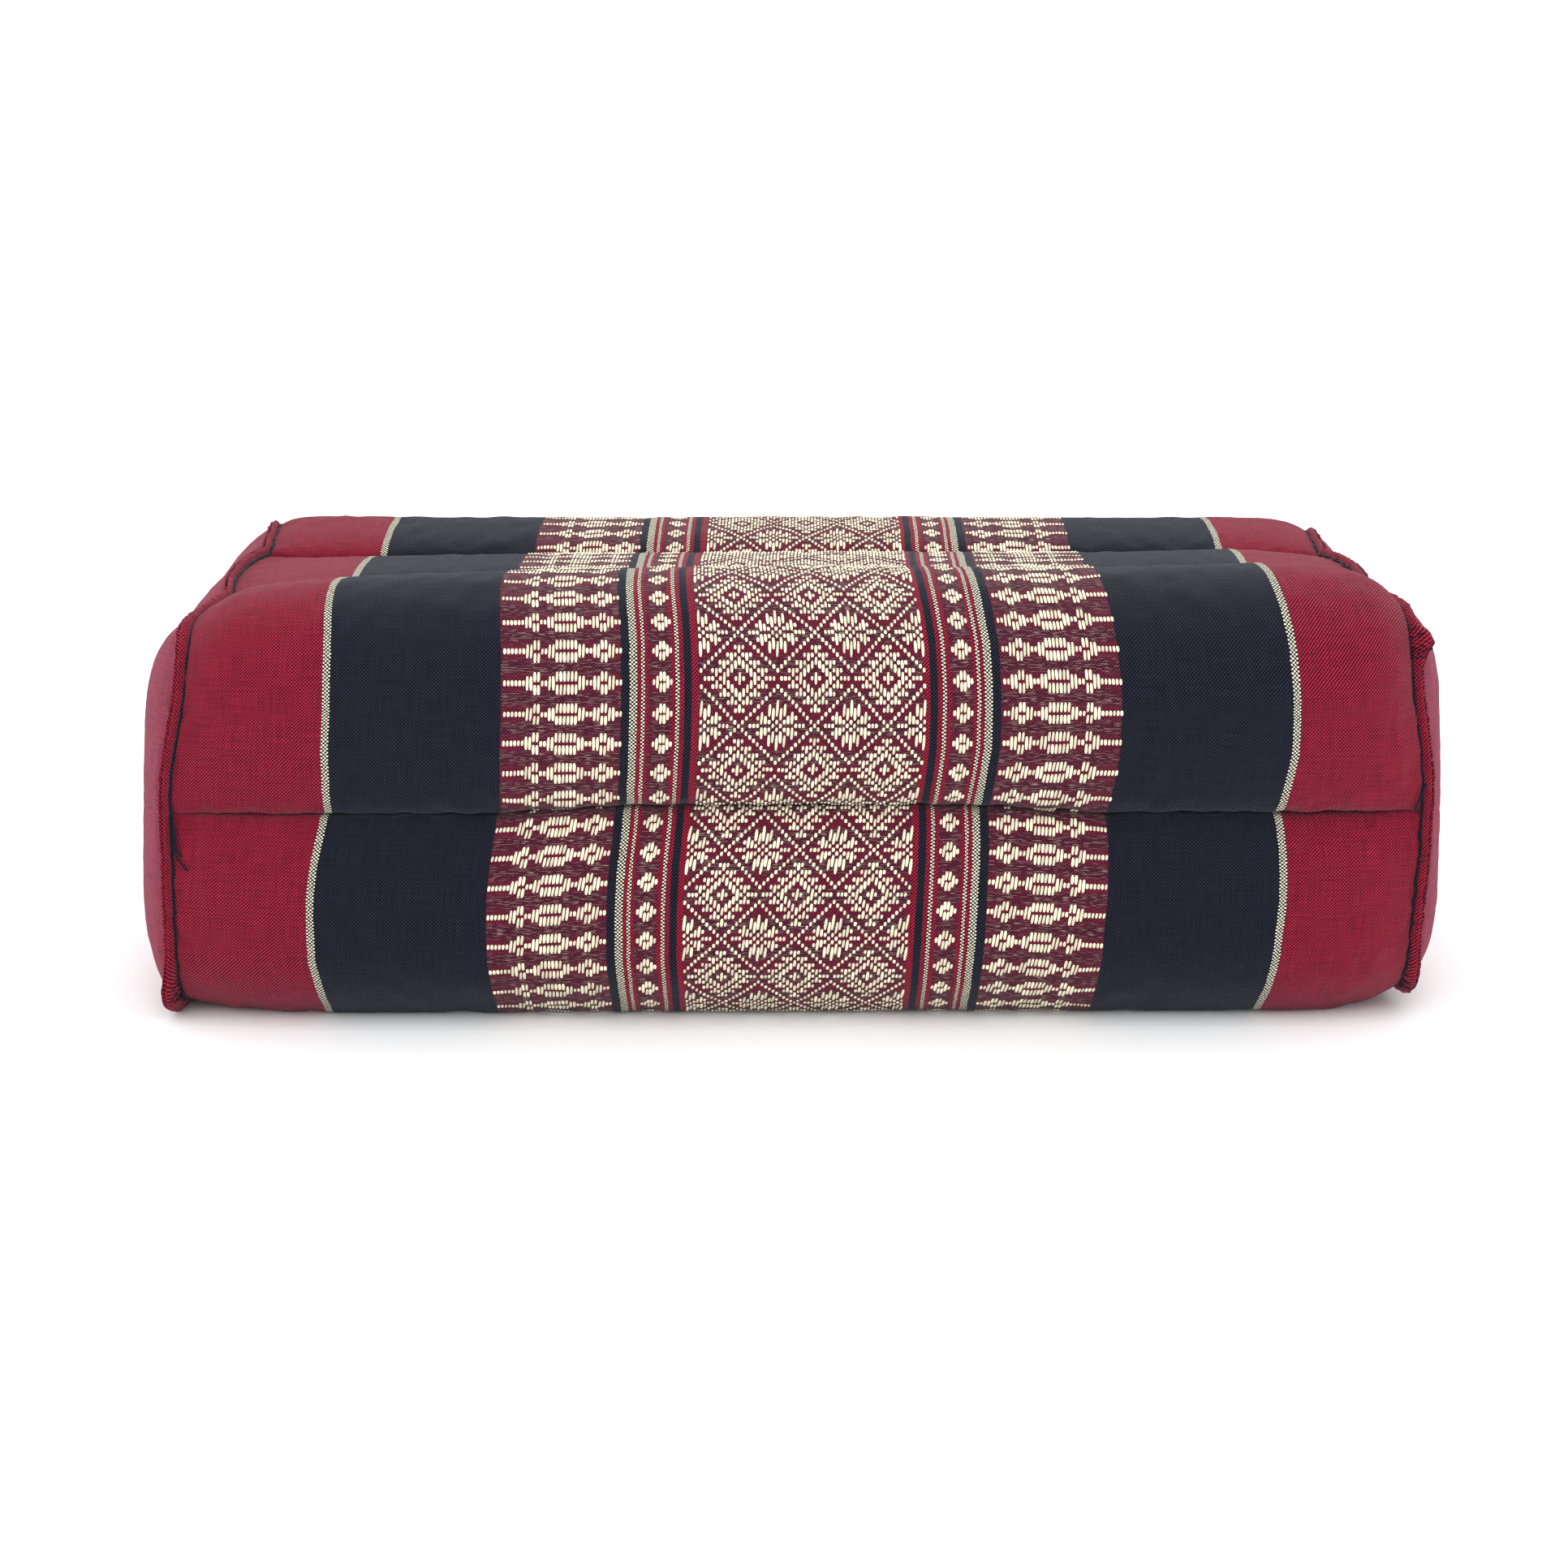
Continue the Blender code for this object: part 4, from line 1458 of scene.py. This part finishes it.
def seam_rail(side):
    """Even steps along an end seam, with the ways that point out of it and across it toward the panel."""
    x = side * SEAM_LENGTH / 2
    centre = np.array(end_centre(side))
    loop, wrap_side, ears = [], [], []
    for roll, share, _, _ in GIRTH:
        loop.append(roll_point(roll, share, x))
        wrap_side.append(roll_point(roll, share, x - side * SEAM_FOOT))
        ears.append(ear_reach(side, roll, share))
    loop, wrap_side, ears = np.array(loop), np.array(wrap_side), np.array(ears)
    panel_side = centre + (loop - centre) * SEAM_EDGE_SIZE
    bulge = end_bulge(side) * (1 - SEAM_EDGE_SIZE**END_POWER) ** END_ROUNDNESS
    panel_side[:, 0] = centre[0] + side * bulge + (loop[:, 0] - centre[0]) * SEAM_EDGE_SIZE**6
    run = unit(np.roll(loop, -1, axis=0) - np.roll(loop, 1, axis=0))
    wrap_normal = unit(np.cross(run, wrap_side - loop))
    wrap_normal *= np.sign(np.sum(wrap_normal * (loop - centre), axis=1, keepdims=True))
    panel_normal = unit(np.cross(panel_side - loop, run))
    panel_normal *= np.sign(panel_normal[:, :1]) * side
    out = wrap_normal + panel_normal
    closed = np.concatenate([loop, loop[:1]])
    lengths = np.concatenate([[0], np.cumsum(np.linalg.norm(np.diff(closed, axis=0), axis=1))])
    count = int(lengths[-1] / SEAM_STEP)
    along = np.arange(count) * lengths[-1] / count

    def resampled(values):
        values = np.concatenate([values, values[:1]])
        columns = values.reshape(len(values), -1).T
        return np.stack([np.interp(along, lengths, column) for column in columns], axis=1)

    def smoothed(values):
        for _ in range(RAIL_SMOOTHING):
            values = (np.roll(values, 1, axis=0) + 2 * values + np.roll(values, -1, axis=0)) / 4
        return values

    points = resampled(loop)
    out = unit(smoothed(resampled(out)))
    tangent = unit(smoothed(np.roll(points, -1, axis=0) - np.roll(points, 1, axis=0)))
    across = unit(np.cross(tangent, out))
    across *= np.sign(across[:, :1]) * side
    return Rail(points, out, across, tangent, resampled(ears)[:, 0], along)


def seam_points(rail, sizes, across, up, phase):
    """Points of one line along the seam, uneven where the overcast thread bites into the cloth."""
    count = len(rail.places)
    bite = np.zeros(count)
    lean = np.zeros(count)
    for index, place in enumerate(rail.places):
        bite[index] = noise.noise(Vector((place / BITE_RUN, phase, 3.1)))
        lean[index] = noise.noise(Vector((place / LEAN_RUN, phase * 0.3, 8.2)))
    rise = np.clip(up / SEAM_TOP, 0, 1)
    height = up * MM * (1 + rail.ear / SEAM_HEIGHT) + rise * bite * sizes.seam_bumps
    sideways = across * MM * (1 + BITE_WIDTH * bite) + rise * lean * LEAN_REACH * MM
    points = rail.points + rail.out * height[:, None] + rail.across * sideways[:, None]
    points[:, 2] = np.maximum(points[:, 2], SEAM_FLOOR)
    return points


def build_seam(side, sizes, material):
    rail = seam_rail(side)
    lines = [
        seam_points(rail, sizes, across, up, 0.7 * (across > 0) + 0.15 * up)
        for across, up in SEAM_SECTION
    ]
    places = np.stack(lines, axis=1)
    count, width = places.shape[:2]
    numbers = np.arange(count * width).reshape(count, width)
    faces = grid_faces(np.concatenate([numbers, numbers[:1]]), closed=True)
    seam = new_mesh_object(f"seam_edges_{END_NAMES[side]}", places.reshape(-1, 3), faces)
    section = np.array(SEAM_SECTION + SEAM_SECTION[:1])
    girth = np.concatenate([[0], np.cumsum(np.linalg.norm(np.diff(section, axis=0), axis=1))]) * MM
    step = rail.places[1]
    coordinates = []
    for row in range(count):
        v0, v1 = row * step, (row + 1) * step
        for u0, u1 in zip(girth, girth[1:]):
            coordinates += [(u0, v0), (u0, v1), (u1, v1), (u1, v0)]
    set_cloth_coordinates(seam.data, coordinates)
    face_outwards(seam)
    set_material(seam, material)
    return seam


def rail_object(name, rail, across, up):
    """The seam's rail as a closed mesh line, with the ways out and across kept on its points."""
    points = rail.points + rail.out * up + rail.across * across
    count = len(points)
    mesh = bpy.data.meshes.new(name)
    mesh.from_pydata([tuple(p) for p in points], [(i, (i + 1) % count) for i in range(count)], [])
    for attribute_name, values in (("out", rail.out), ("across", rail.across), ("ear", rail.ear)):
        add_attribute(mesh, attribute_name, values)
    return add_object(name, mesh)


STITCH_START = math.radians(-10)  # a stitch starts a little under one side of the seam
STITCH_SWEEP = math.radians(200)  # and ends a little under the other
STITCH_SWAY = (0.15, 0.1, 0.5)    # how far a stitch may lean from its place, in radians


def thread_along(tree, curve, radius, sides, caps=False):
    """A thread of that radius along a curve, as a mesh."""
    profile = add_node(
        tree, "GeometryNodeCurvePrimitiveCircle", {"Resolution": sides, "Radius": radius}
    ).outputs["Curve"]
    links = {"Curve": curve, "Profile Curve": profile, "Fill Caps": caps}
    return add_node(tree, "GeometryNodeCurveToMesh", links).outputs[0]


def overcast_tree():
    """Overcast stitches: slanted loops of thread over a raised seam, a stitch apart along its rail."""
    tree, given, result = new_tree(
        "overcast_stitches",
        (
            ("Stitch Length", "NodeSocketFloat", 0.0026),
            ("Half Width", "NodeSocketFloat", 0.0017),
            ("Height", "NodeSocketFloat", 0.0043),
            ("Slant", "NodeSocketFloat", 0.5),
            ("Thread Radius", "NodeSocketFloat", 0.0002),
            ("Seed", "NodeSocketInt", 2),
            ("Material", "NodeSocketMaterial", None),
        ),
    )
    rail = add_node(tree, "GeometryNodeMeshToCurve", {"Mesh": given["Geometry"]})
    stitch_places = add_node(
        tree, "GeometryNodeResampleCurve",
        {"Curve": rail.outputs[0], "Length": given["Stitch Length"]}, mode="LENGTH",
    )
    arc = add_node(
        tree, "GeometryNodeCurveArc",
        {"Resolution": 9, "Radius": 1.0, "Start Angle": STITCH_START, "Sweep Angle": STITCH_SWEEP},
    )
    here = parts_of(tree, position(tree))
    slant = maths(tree, "MULTIPLY", given["Half Width"], given["Slant"])
    over = combine(
        tree, maths(tree, "MULTIPLY", here[0], given["Half Width"]),
        maths(tree, "MULTIPLY", here[0], slant), maths(tree, "MULTIPLY", here[1], given["Height"]),
    )
    bent = moved(tree, arc.outputs["Curve"], Position=over)
    stitch = thread_along(tree, bent, given["Thread Radius"], 5, caps=True)
    turn = add_node(
        tree, "FunctionNodeAxesToRotation",
        {"Primary Axis": named(tree, "out"), "Secondary Axis": named(tree, "across")},
        primary_axis="Z", secondary_axis="X",
    )
    wobble = add_node(
        tree, "FunctionNodeRotateRotation", {"Rotation": turn.outputs[0]}, rotation_space="LOCAL"
    )
    least = tuple(-angle for angle in STITCH_SWAY)
    sway = random_value(tree, least, STITCH_SWAY, given["Seed"], "FLOAT_VECTOR")
    tree.links.new(sway, wobble.inputs[1])
    ear = maths(tree, "MULTIPLY_ADD", named(tree, "ear", "FLOAT"), 1 / SEAM_HEIGHT, 1.0)
    size = maths(tree, "MULTIPLY", random_value(tree, 0.9, 1.03, given["Seed"]), ear)
    copies = add_node(
        tree, "GeometryNodeInstanceOnPoints",
        {
            "Points": stitch_places.outputs[0], "Instance": stitch,
            "Rotation": wobble.outputs[0], "Scale": combine(tree, size, 1.0, size),
        },
    )
    return finish_tree(tree, given, result, above_floor(tree, realised(tree, copies.outputs[0])))


def sewing_thread_and_shade_tree():
    """A dark strand along a seam's rail, on the wrap's side: sewing thread, and painted shade of the crevice
    between the wrap and the raised seam.
    """
    tree, given, result = new_tree(
        "seam_thread",
        (
            ("Radius", "NodeSocketFloat", 0.0004),
            ("Unevenness", "NodeSocketFloat", 0.0002),
            ("Material", "NodeSocketMaterial", None),
        ),
    )
    rail = add_node(tree, "GeometryNodeMeshToCurve", {"Mesh": given["Geometry"]})
    wander = add_node(tree, "ShaderNodeTexNoise", {"Scale": 300.0, "Detail": 1.0})
    away = vector_maths(tree, "SUBTRACT", wander.outputs["Color"], (0.5, 0.5, 0.5))
    reach = maths(tree, "MULTIPLY", given["Unevenness"], 4.0)
    line = moved(tree, rail.outputs[0], Offset=vector_maths(tree, "SCALE", away, Scale=reach))
    strand = thread_along(tree, line, given["Radius"], 6)
    return finish_tree(tree, given, result, realised(tree, above_floor(tree, strand)))


# Loose ends of the sewing thread, with their points as (x, z, height over the cloth) in millimetres
LOOSE_ENDS = {
    "loose_end_left": (
        (-171.8, 59.4, 1.0), (-171.0, 55.5, 1.3), (-171.4, 51.0, 1.2), (-170.6, 47.4, 1.0),
        (-168.0, 44.4, 0.4),
    ),
    "loose_end_short": (
        (-171.5, 58.4, 1.5), (-170.4, 54.0, 1.6), (-170.9, 50.2, 1.4), (-169.6, 48.2, 0.4),
    ),
    "loose_end_right": (
        (174.6, 68.4, 1.2), (173.2, 64.6, 1.8), (172.6, 62.4, 1.2), (173.4, 59.4, 0.5),
    ),
}
LOOSE_THICKNESS = 1.8         # radius of a loose end, in radii of the sewing thread
BEFORE_FRONT = -0.2           # a place in front of the whole cushion


def build_loose_end(name, places, radius, material):
    """A loose end of thread that lies on the front of the wrap."""
    wrap = bpy.data.objects["filled_wrap"]
    curve = bpy.data.curves.new(name, "CURVE")
    curve.dimensions = "3D"
    curve.bevel_depth = radius
    curve.bevel_resolution = 1
    curve.use_fill_caps = True
    line = curve.splines.new("NURBS")
    line.points.add(len(places) - 1)
    for point, (x, z, lift) in zip(line.points, places):
        found, spot, normal, _ = wrap.ray_cast(Vector((x * MM, BEFORE_FRONT, z * MM)), Vector((0, 1, 0)))
        if not found:
            raise RuntimeError(f"{name} misses the wrap at {x}, {z}")
        point.co = (*(spot + normal * lift * MM), 1.0)
    line.use_endpoint_u = True
    line.order_u = 3
    obj = add_object(name, curve)
    shape = bpy.data.meshes.new_from_object(obj.evaluated_get(bpy.context.evaluated_depsgraph_get()))
    bpy.data.objects.remove(obj)
    thread = add_object(name, shape)
    set_material(thread, material)
    face_outwards(thread)
    return thread


# Stage: floor, light and camera

CAMERA_TARGET = Vector((-0.0017, 0.0, 0.0497))
CAMERA_DISTANCE = 0.835
CAMERA_ELEVATION = math.radians(13.07)
CAMERA_AZIMUTH = math.radians(-0.55)
CAMERA_LENS = 62.42
LIGHT_AIM = Vector((0, 0, 0.05))
FLOOR_REACH = 6               # from the middle of the floor to each side, in metres


def build_camera():
    data = bpy.data.cameras.new("camera")
    data.lens = CAMERA_LENS
    data.sensor_width = 36.0
    camera = add_object("camera", data)
    back = Vector((
        math.sin(CAMERA_AZIMUTH) * math.cos(CAMERA_ELEVATION),
        -math.cos(CAMERA_AZIMUTH) * math.cos(CAMERA_ELEVATION),
        math.sin(CAMERA_ELEVATION),
    ))
    camera.location = CAMERA_TARGET + back * CAMERA_DISTANCE
    camera.rotation_mode = "QUATERNION"
    camera.rotation_quaternion = (-back).to_track_quat("-Z", "Y")
    bpy.context.scene.camera = camera


def area_light(name, place, width, power):
    """A soft square light, aimed at the cushion."""
    data = bpy.data.lights.new(name, "AREA")
    data.shape = "SQUARE"
    data.size = width
    data.energy = power
    light = add_object(name, data)
    light.location = place
    light.rotation_mode = "QUATERNION"
    light.rotation_quaternion = (LIGHT_AIM - Vector(place)).to_track_quat("-Z", "Y")


def build_stage(sizes, colours):
    corners = [(x * FLOOR_REACH, y * FLOOR_REACH, 0) for x, y in ((-1, -1), (1, -1), (1, 1), (-1, 1))]
    floor = new_mesh_object("floor", corners, [(0, 1, 2, 3)], smooth=False)
    material = bpy.data.materials.new("floor_paper")
    material.use_nodes = True
    shader = material.node_tree.nodes["Principled BSDF"]
    shader.inputs["Base Color"].default_value = rgba(colours.floor)
    shader.inputs["Roughness"].default_value = 1.0
    shader.inputs["Specular IOR Level"].default_value = 0.0
    floor.data.materials.append(material)
    world = bpy.data.worlds.new("studio")
    world.use_nodes = True
    background = world.node_tree.nodes["Background"]
    background.inputs["Color"].default_value = (1.0, 1.0, 1.0, 1.0)
    background.inputs["Strength"].default_value = sizes.surround
    bpy.context.scene.world = world
    area_light("front_light", (-0.5, -1.6, 1.3), 1.2, sizes.front_light)
    area_light("top_light", (0.2, 0.5, 1.8), 1.5, sizes.top_light)
    bpy.context.scene.view_settings.view_transform = "Standard"
    build_camera()


# Settings


def length_setting(name, description, default):
    return bpy.props.FloatProperty(
        name=name, description=description, default=default, min=0.0, precision=5,
        subtype="DISTANCE", unit="LENGTH",
    )


def share_setting(name, description, default, high=1.0):
    return bpy.props.FloatProperty(
        name=name, description=description, default=default, min=0.0, max=high, subtype="FACTOR"
    )


def amount_setting(name, description, default):
    return bpy.props.FloatProperty(name=name, description=description, default=default)


def colour_setting(name, description, default):
    return bpy.props.FloatVectorProperty(
        name=name, description=description, default=default, size=3, min=0.0, max=1.0, subtype="COLOR"
    )


class CushionSizes(bpy.types.PropertyGroup):
    """Sizes and amounts that a user would change."""

    start_fullness: share_setting("Start fullness", "Crown of the rolls before the fill presses out", 1.0)
    firmness: share_setting("Firmness", "How firmly the packed fill holds the cloth's shape", 0.45)
    slack: share_setting("Slack", "Spare cloth, as a share of its length", 0.02)
    pressure: amount_setting("Pressure", "How hard the fill presses the cloth outwards", 4.0)
    frames: bpy.props.IntProperty(
        name="Steps", description="Steps of the filling simulation", default=20, min=2, max=60
    )
    motion_cap: length_setting("Motion cap", "How far the fill may move the cloth", 0.005)
    thread_pitch: length_setting("Thread pitch", "From one thread of the cloth to the next", 0.00052)
    relief: length_setting("Weave relief", "Height of the weave's bumps", 0.00012)
    fuzz: share_setting("Fuzz", "Soft haze of the cotton at a slant", 0.13)
    cloth_thickness: length_setting("Cloth thickness", "Thickness of the end panels' cloth", 0.0008)
    side_float_width: length_setting("Side thread width", "Width of a side band's figuring thread", 0.00078)
    centre_float_width: length_setting("Centre thread width", "Width of a centre figuring thread", 0.00078)
    float_height: length_setting("Brocade thread height", "How far a figuring thread stands up", 0.00035)
    float_lift: length_setting("Brocade thread lift", "Gap from the cloth to its figuring threads", 0.00004)
    seam_bumps: length_setting("Seam bumps", "Unevenness of the raised end seams", 0.00045)
    left_stitch: length_setting("Left stitch", "From one stitch of the left end seam to the next", 0.0013)
    right_stitch: length_setting("Right stitch", "From one stitch of the right end seam to the next", 0.0020)
    stitch_radius: length_setting("Stitch radius", "Radius of the sewing thread", 0.00016)
    surround: amount_setting("Surround", "Brightness of the white surround", 1.40)
    front_light: amount_setting("Front light", "Power of the front light, in watts", 3.0)
    top_light: amount_setting("Top light", "Power of the top light, in watts", 4.5)


class CushionColours(bpy.types.PropertyGroup):
    """Colours of the threads and of the stage."""

    red_warp: colour_setting("Red warp", "Bright thread of the red cloth", (0.39, 0.014, 0.040))
    red_weft: colour_setting("Red weft", "Dark thread of the red cloth", (0.022, 0.003, 0.010))
    black_warp: colour_setting("Black warp", "Lighter thread of the black cloth", (0.018, 0.021, 0.036))
    black_weft: colour_setting("Black weft", "Darker thread of the black cloth", (0.002, 0.002, 0.005))
    figured_warp: colour_setting("Figured warp", "Red thread of the brocade's ground", (0.17, 0.010, 0.028))
    figured_weft: colour_setting("Figured weft", "Dark thread of that ground", (0.020, 0.009, 0.020))
    panel_warp: colour_setting("Panel warp", "Bright thread of the end panels", (0.43, 0.031, 0.074))
    panel_weft: colour_setting("Panel weft", "Dark thread of the end panels", (0.030, 0.008, 0.020))
    cream: colour_setting("Cream", "Cream figuring thread", (0.90, 0.85, 0.64))
    # The same near-black colour makes the dark strand along each end seam, which is sewing thread and
    # painted shade of the crevice beside it.
    seam_thread: colour_setting("Seam thread", "Near-black sewing thread", (0.012, 0.012, 0.022))
    fuzz: colour_setting("Fuzz", "Tint of the cotton's haze", (0.88, 0.92, 1.0))
    floor: colour_setting("Floor", "Pale floor", (0.98, 0.99, 1.0))


# Operators


def sizes_of(context):
    return context.scene.cushion_sizes


def colours_of(context):
    return context.scene.cushion_colours


def attach(piece, slot, *nodes):
    """Makes a piece ride on the cushion and hides the nodes that it stands for. The material slot that it is
    given is not used.
    """
    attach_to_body(piece, BODY)
    if nodes:
        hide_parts(*nodes)


class CUSHION_OT_weave_cloths(bpy.types.Operator):
    """Makes the materials of the cloths and threads"""

    bl_idname = "cushion.weave_cloths"
    bl_label = "Weave the cloths"

    def execute(self, context):
        sizes, colours = sizes_of(context), colours_of(context)
        groups = {
            "plain_weave": plain_weave_group(),
            "cream_check": cream_check_group(),
            "figured_ground": figured_ground_group(),
        }
        wrap_material(sizes, colours, groups)
        plain_cloth_material("woven_panel", sizes, colours, groups, colours.panel_warp, colours.panel_weft)
        plain_cloth_material("folded_seam", sizes, colours, groups, colours.red_warp, colours.red_weft)
        thread_material("cream_thread", sizes, colours, colours.cream)
        # Sewing thread of the stitches and loose ends, and of the dark strand that paints the crevice shade
        # along each end seam.
        thread_material("dark_thread", sizes, colours, colours.seam_thread)
        return {"FINISHED"}


class CUSHION_OT_fill_form(bpy.types.Operator):
    """Makes the closed form of the cushion and lets the fill press its cloth out"""

    bl_idname = "cushion.fill_form"
    bl_label = "Fill the form"

    def execute(self, context):
        sizes = sizes_of(context)
        start = form_points(sizes.start_fullness)
        faces = [grid_faces(WRAP_GRID, closed=True)]
        faces += [grid_faces(END_GRIDS[side]) for side in (-1, 1)]
        form = new_mesh_object("filled_form", start, np.concatenate(faces))
        face_outwards(form)
        rested = simulate_filling(form, sizes)
        motion = np.linalg.norm(rested - start, axis=1)
        print("filling moved the cloth by", motion.mean() * 1000, "to", motion.max() * 1000, "mm")
        set_mesh_points(form.data, within_cap(start, rested, sizes.motion_cap))
        return {"FINISHED"}


def filled_points():
    return mesh_points(bpy.data.objects["filled_form"].data)


class CUSHION_OT_add_wrap(bpy.types.Operator):
    """Adds the striped wrap with its six sewn rolls"""

    bl_idname = "cushion.add_wrap"
    bl_label = "Add the wrap"

    def execute(self, context):
        wrap = build_wrap(filled_points(), bpy.data.materials["woven_wrap"])
        attach(wrap, "wrap_cloth", "cushion_body")
        return {"FINISHED"}


class CUSHION_OT_add_end_panels(bpy.types.Operator):
    """Adds the crowned panel at each end"""

    bl_idname = "cushion.add_end_panels"
    bl_label = "Add the end panels"

    def execute(self, context):
        sizes = sizes_of(context)
        for side, end in END_NAMES.items():
            panel = build_panel(side, filled_points(), sizes, bpy.data.materials["woven_panel"])
            attach(panel, "panel_cloth", f"end_panel_{end}")
        return {"FINISHED"}


# The left seam's stitches sink between its two folded edges, and the right seam's lie over both
EndStitches = namedtuple("EndStitches", "half_width height slant unevenness")
END_STITCHES = {
    -1: EndStitches(0.00070, 0.00235, 0.4, 0.00030),
    1: EndStitches(0.00115, 0.00262, 0.9, 0.00045),
}
SEWING_THREAD_AND_SHADE_RADIUS = 0.00042  # the dark strand along a seam on the wrap's side: sewing thread, and painted shade of the crevice there
SEWING_THREAD_AND_SHADE_ACROSS = -0.00155
SEWING_THREAD_AND_SHADE_UP = 0.0002


class CUSHION_OT_add_end_seams(bpy.types.Operator):
    """Adds the raised seam round each end, with its overcast stitches"""

    bl_idname = "cushion.add_end_seams"
    bl_label = "Add the end seams"

    def execute(self, context):
        sizes = sizes_of(context)
        overcast = overcast_tree()
        strand = sewing_thread_and_shade_tree()
        dark = bpy.data.materials["dark_thread"]
        for side, length in ((-1, sizes.left_stitch), (1, sizes.right_stitch)):
            end, stitch = END_NAMES[side], END_STITCHES[side]
            seam = build_seam(side, sizes, bpy.data.materials["folded_seam"])
            attach(seam, "seam_cloth", f"end_seam_{end}")
            rail = seam_rail(side)
            stitches = made_by_tree(
                rail_object(f"overcast_stitches_{end}", rail, 0.0, 0.0), overcast,
                {
                    "Stitch Length": length, "Half Width": stitch.half_width, "Height": stitch.height,
                    "Slant": stitch.slant, "Thread Radius": sizes.stitch_radius, "Material": dark,
                },
            )
            attach(stitches, "seam_cloth")
            # A dark strand on the wrap's side of the seam: sewing thread, and painted shade of the crevice
            # between the wrap and the seam.
            thread = made_by_tree(
                rail_object(f"seam_thread_{end}", rail, SEWING_THREAD_AND_SHADE_ACROSS, SEWING_THREAD_AND_SHADE_UP), strand,
                {"Radius": SEWING_THREAD_AND_SHADE_RADIUS, "Unevenness": stitch.unevenness, "Material": dark},
            )
            attach(thread, "seam_cloth")
        radius = LOOSE_THICKNESS * sizes.stitch_radius
        for name, places in LOOSE_ENDS.items():
            attach(build_loose_end(name, places, radius, dark), "seam_cloth")
        return {"FINISHED"}


class CUSHION_OT_add_brocade(bpy.types.Operator):
    """Adds the cream figuring threads of the brocade bands"""

    bl_idname = "cushion.add_brocade"
    bl_label = "Add the brocade"

    def execute(self, context):
        sizes = sizes_of(context)
        tree = brocade_tree()
        wrap = bpy.data.objects["filled_wrap"]
        for name, floats, width in (
            ("brocade_centre", centre_chart(), sizes.centre_float_width),
            ("brocade_sides", side_chart(), sizes.side_float_width),
        ):
            piece = made_by_tree(
                chart_object(name, floats), tree,
                {
                    "Wrap": wrap, "Thread Width": width, "Thread Height": sizes.float_height,
                    "Lift": sizes.float_lift, "Material": bpy.data.materials["cream_thread"],
                },
            )
            attach(piece, "wrap_cloth")
            print(name, len(floats), "floats,", len(piece.data.polygons), "faces")
        return {"FINISHED"}


class CUSHION_OT_set_stage(bpy.types.Operator):
    """Adds the pale floor, the soft light and the camera"""

    bl_idname = "cushion.set_stage"
    bl_label = "Set the stage"

    def execute(self, context):
        build_stage(sizes_of(context), colours_of(context))
        return {"FINISHED"}


class CUSHION_PT_panel(bpy.types.Panel):
    """Lists the cushion's settings and the steps that build it"""

    bl_idname = "CUSHION_PT_panel"
    bl_label = "Cushion"
    bl_space_type = "VIEW_3D"
    bl_region_type = "UI"
    bl_category = "Cushion"

    def draw(self, context):
        for operator in OPERATORS:
            self.layout.operator(operator.bl_idname)
        for settings in (sizes_of(context), colours_of(context)):
            column = self.layout.column()
            for name in settings.__annotations__:
                column.prop(settings, name)


OPERATORS = (
    CUSHION_OT_weave_cloths,
    CUSHION_OT_fill_form,
    CUSHION_OT_add_wrap,
    CUSHION_OT_add_end_panels,
    CUSHION_OT_add_end_seams,
    CUSHION_OT_add_brocade,
    CUSHION_OT_set_stage,
)
CLASSES = (CushionSizes, CushionColours, *OPERATORS, CUSHION_PT_panel)


def register():
    for made in CLASSES:
        bpy.utils.register_class(made)
    bpy.types.Scene.cushion_sizes = bpy.props.PointerProperty(type=CushionSizes)
    bpy.types.Scene.cushion_colours = bpy.props.PointerProperty(type=CushionColours)


def unregister():
    del bpy.types.Scene.cushion_colours
    del bpy.types.Scene.cushion_sizes
    for made in reversed(CLASSES):
        bpy.utils.unregister_class(made)


def main():
    register()
    bpy.ops.cushion.weave_cloths()
    bpy.ops.cushion.fill_form()
    bpy.ops.cushion.add_wrap()
    bpy.ops.cushion.add_end_panels()
    bpy.ops.cushion.add_end_seams()
    bpy.ops.cushion.add_brocade()
    bpy.ops.cushion.set_stage()
    bpy.data.objects.remove(bpy.data.objects["filled_form"])


if __name__ == "__main__":
    main()
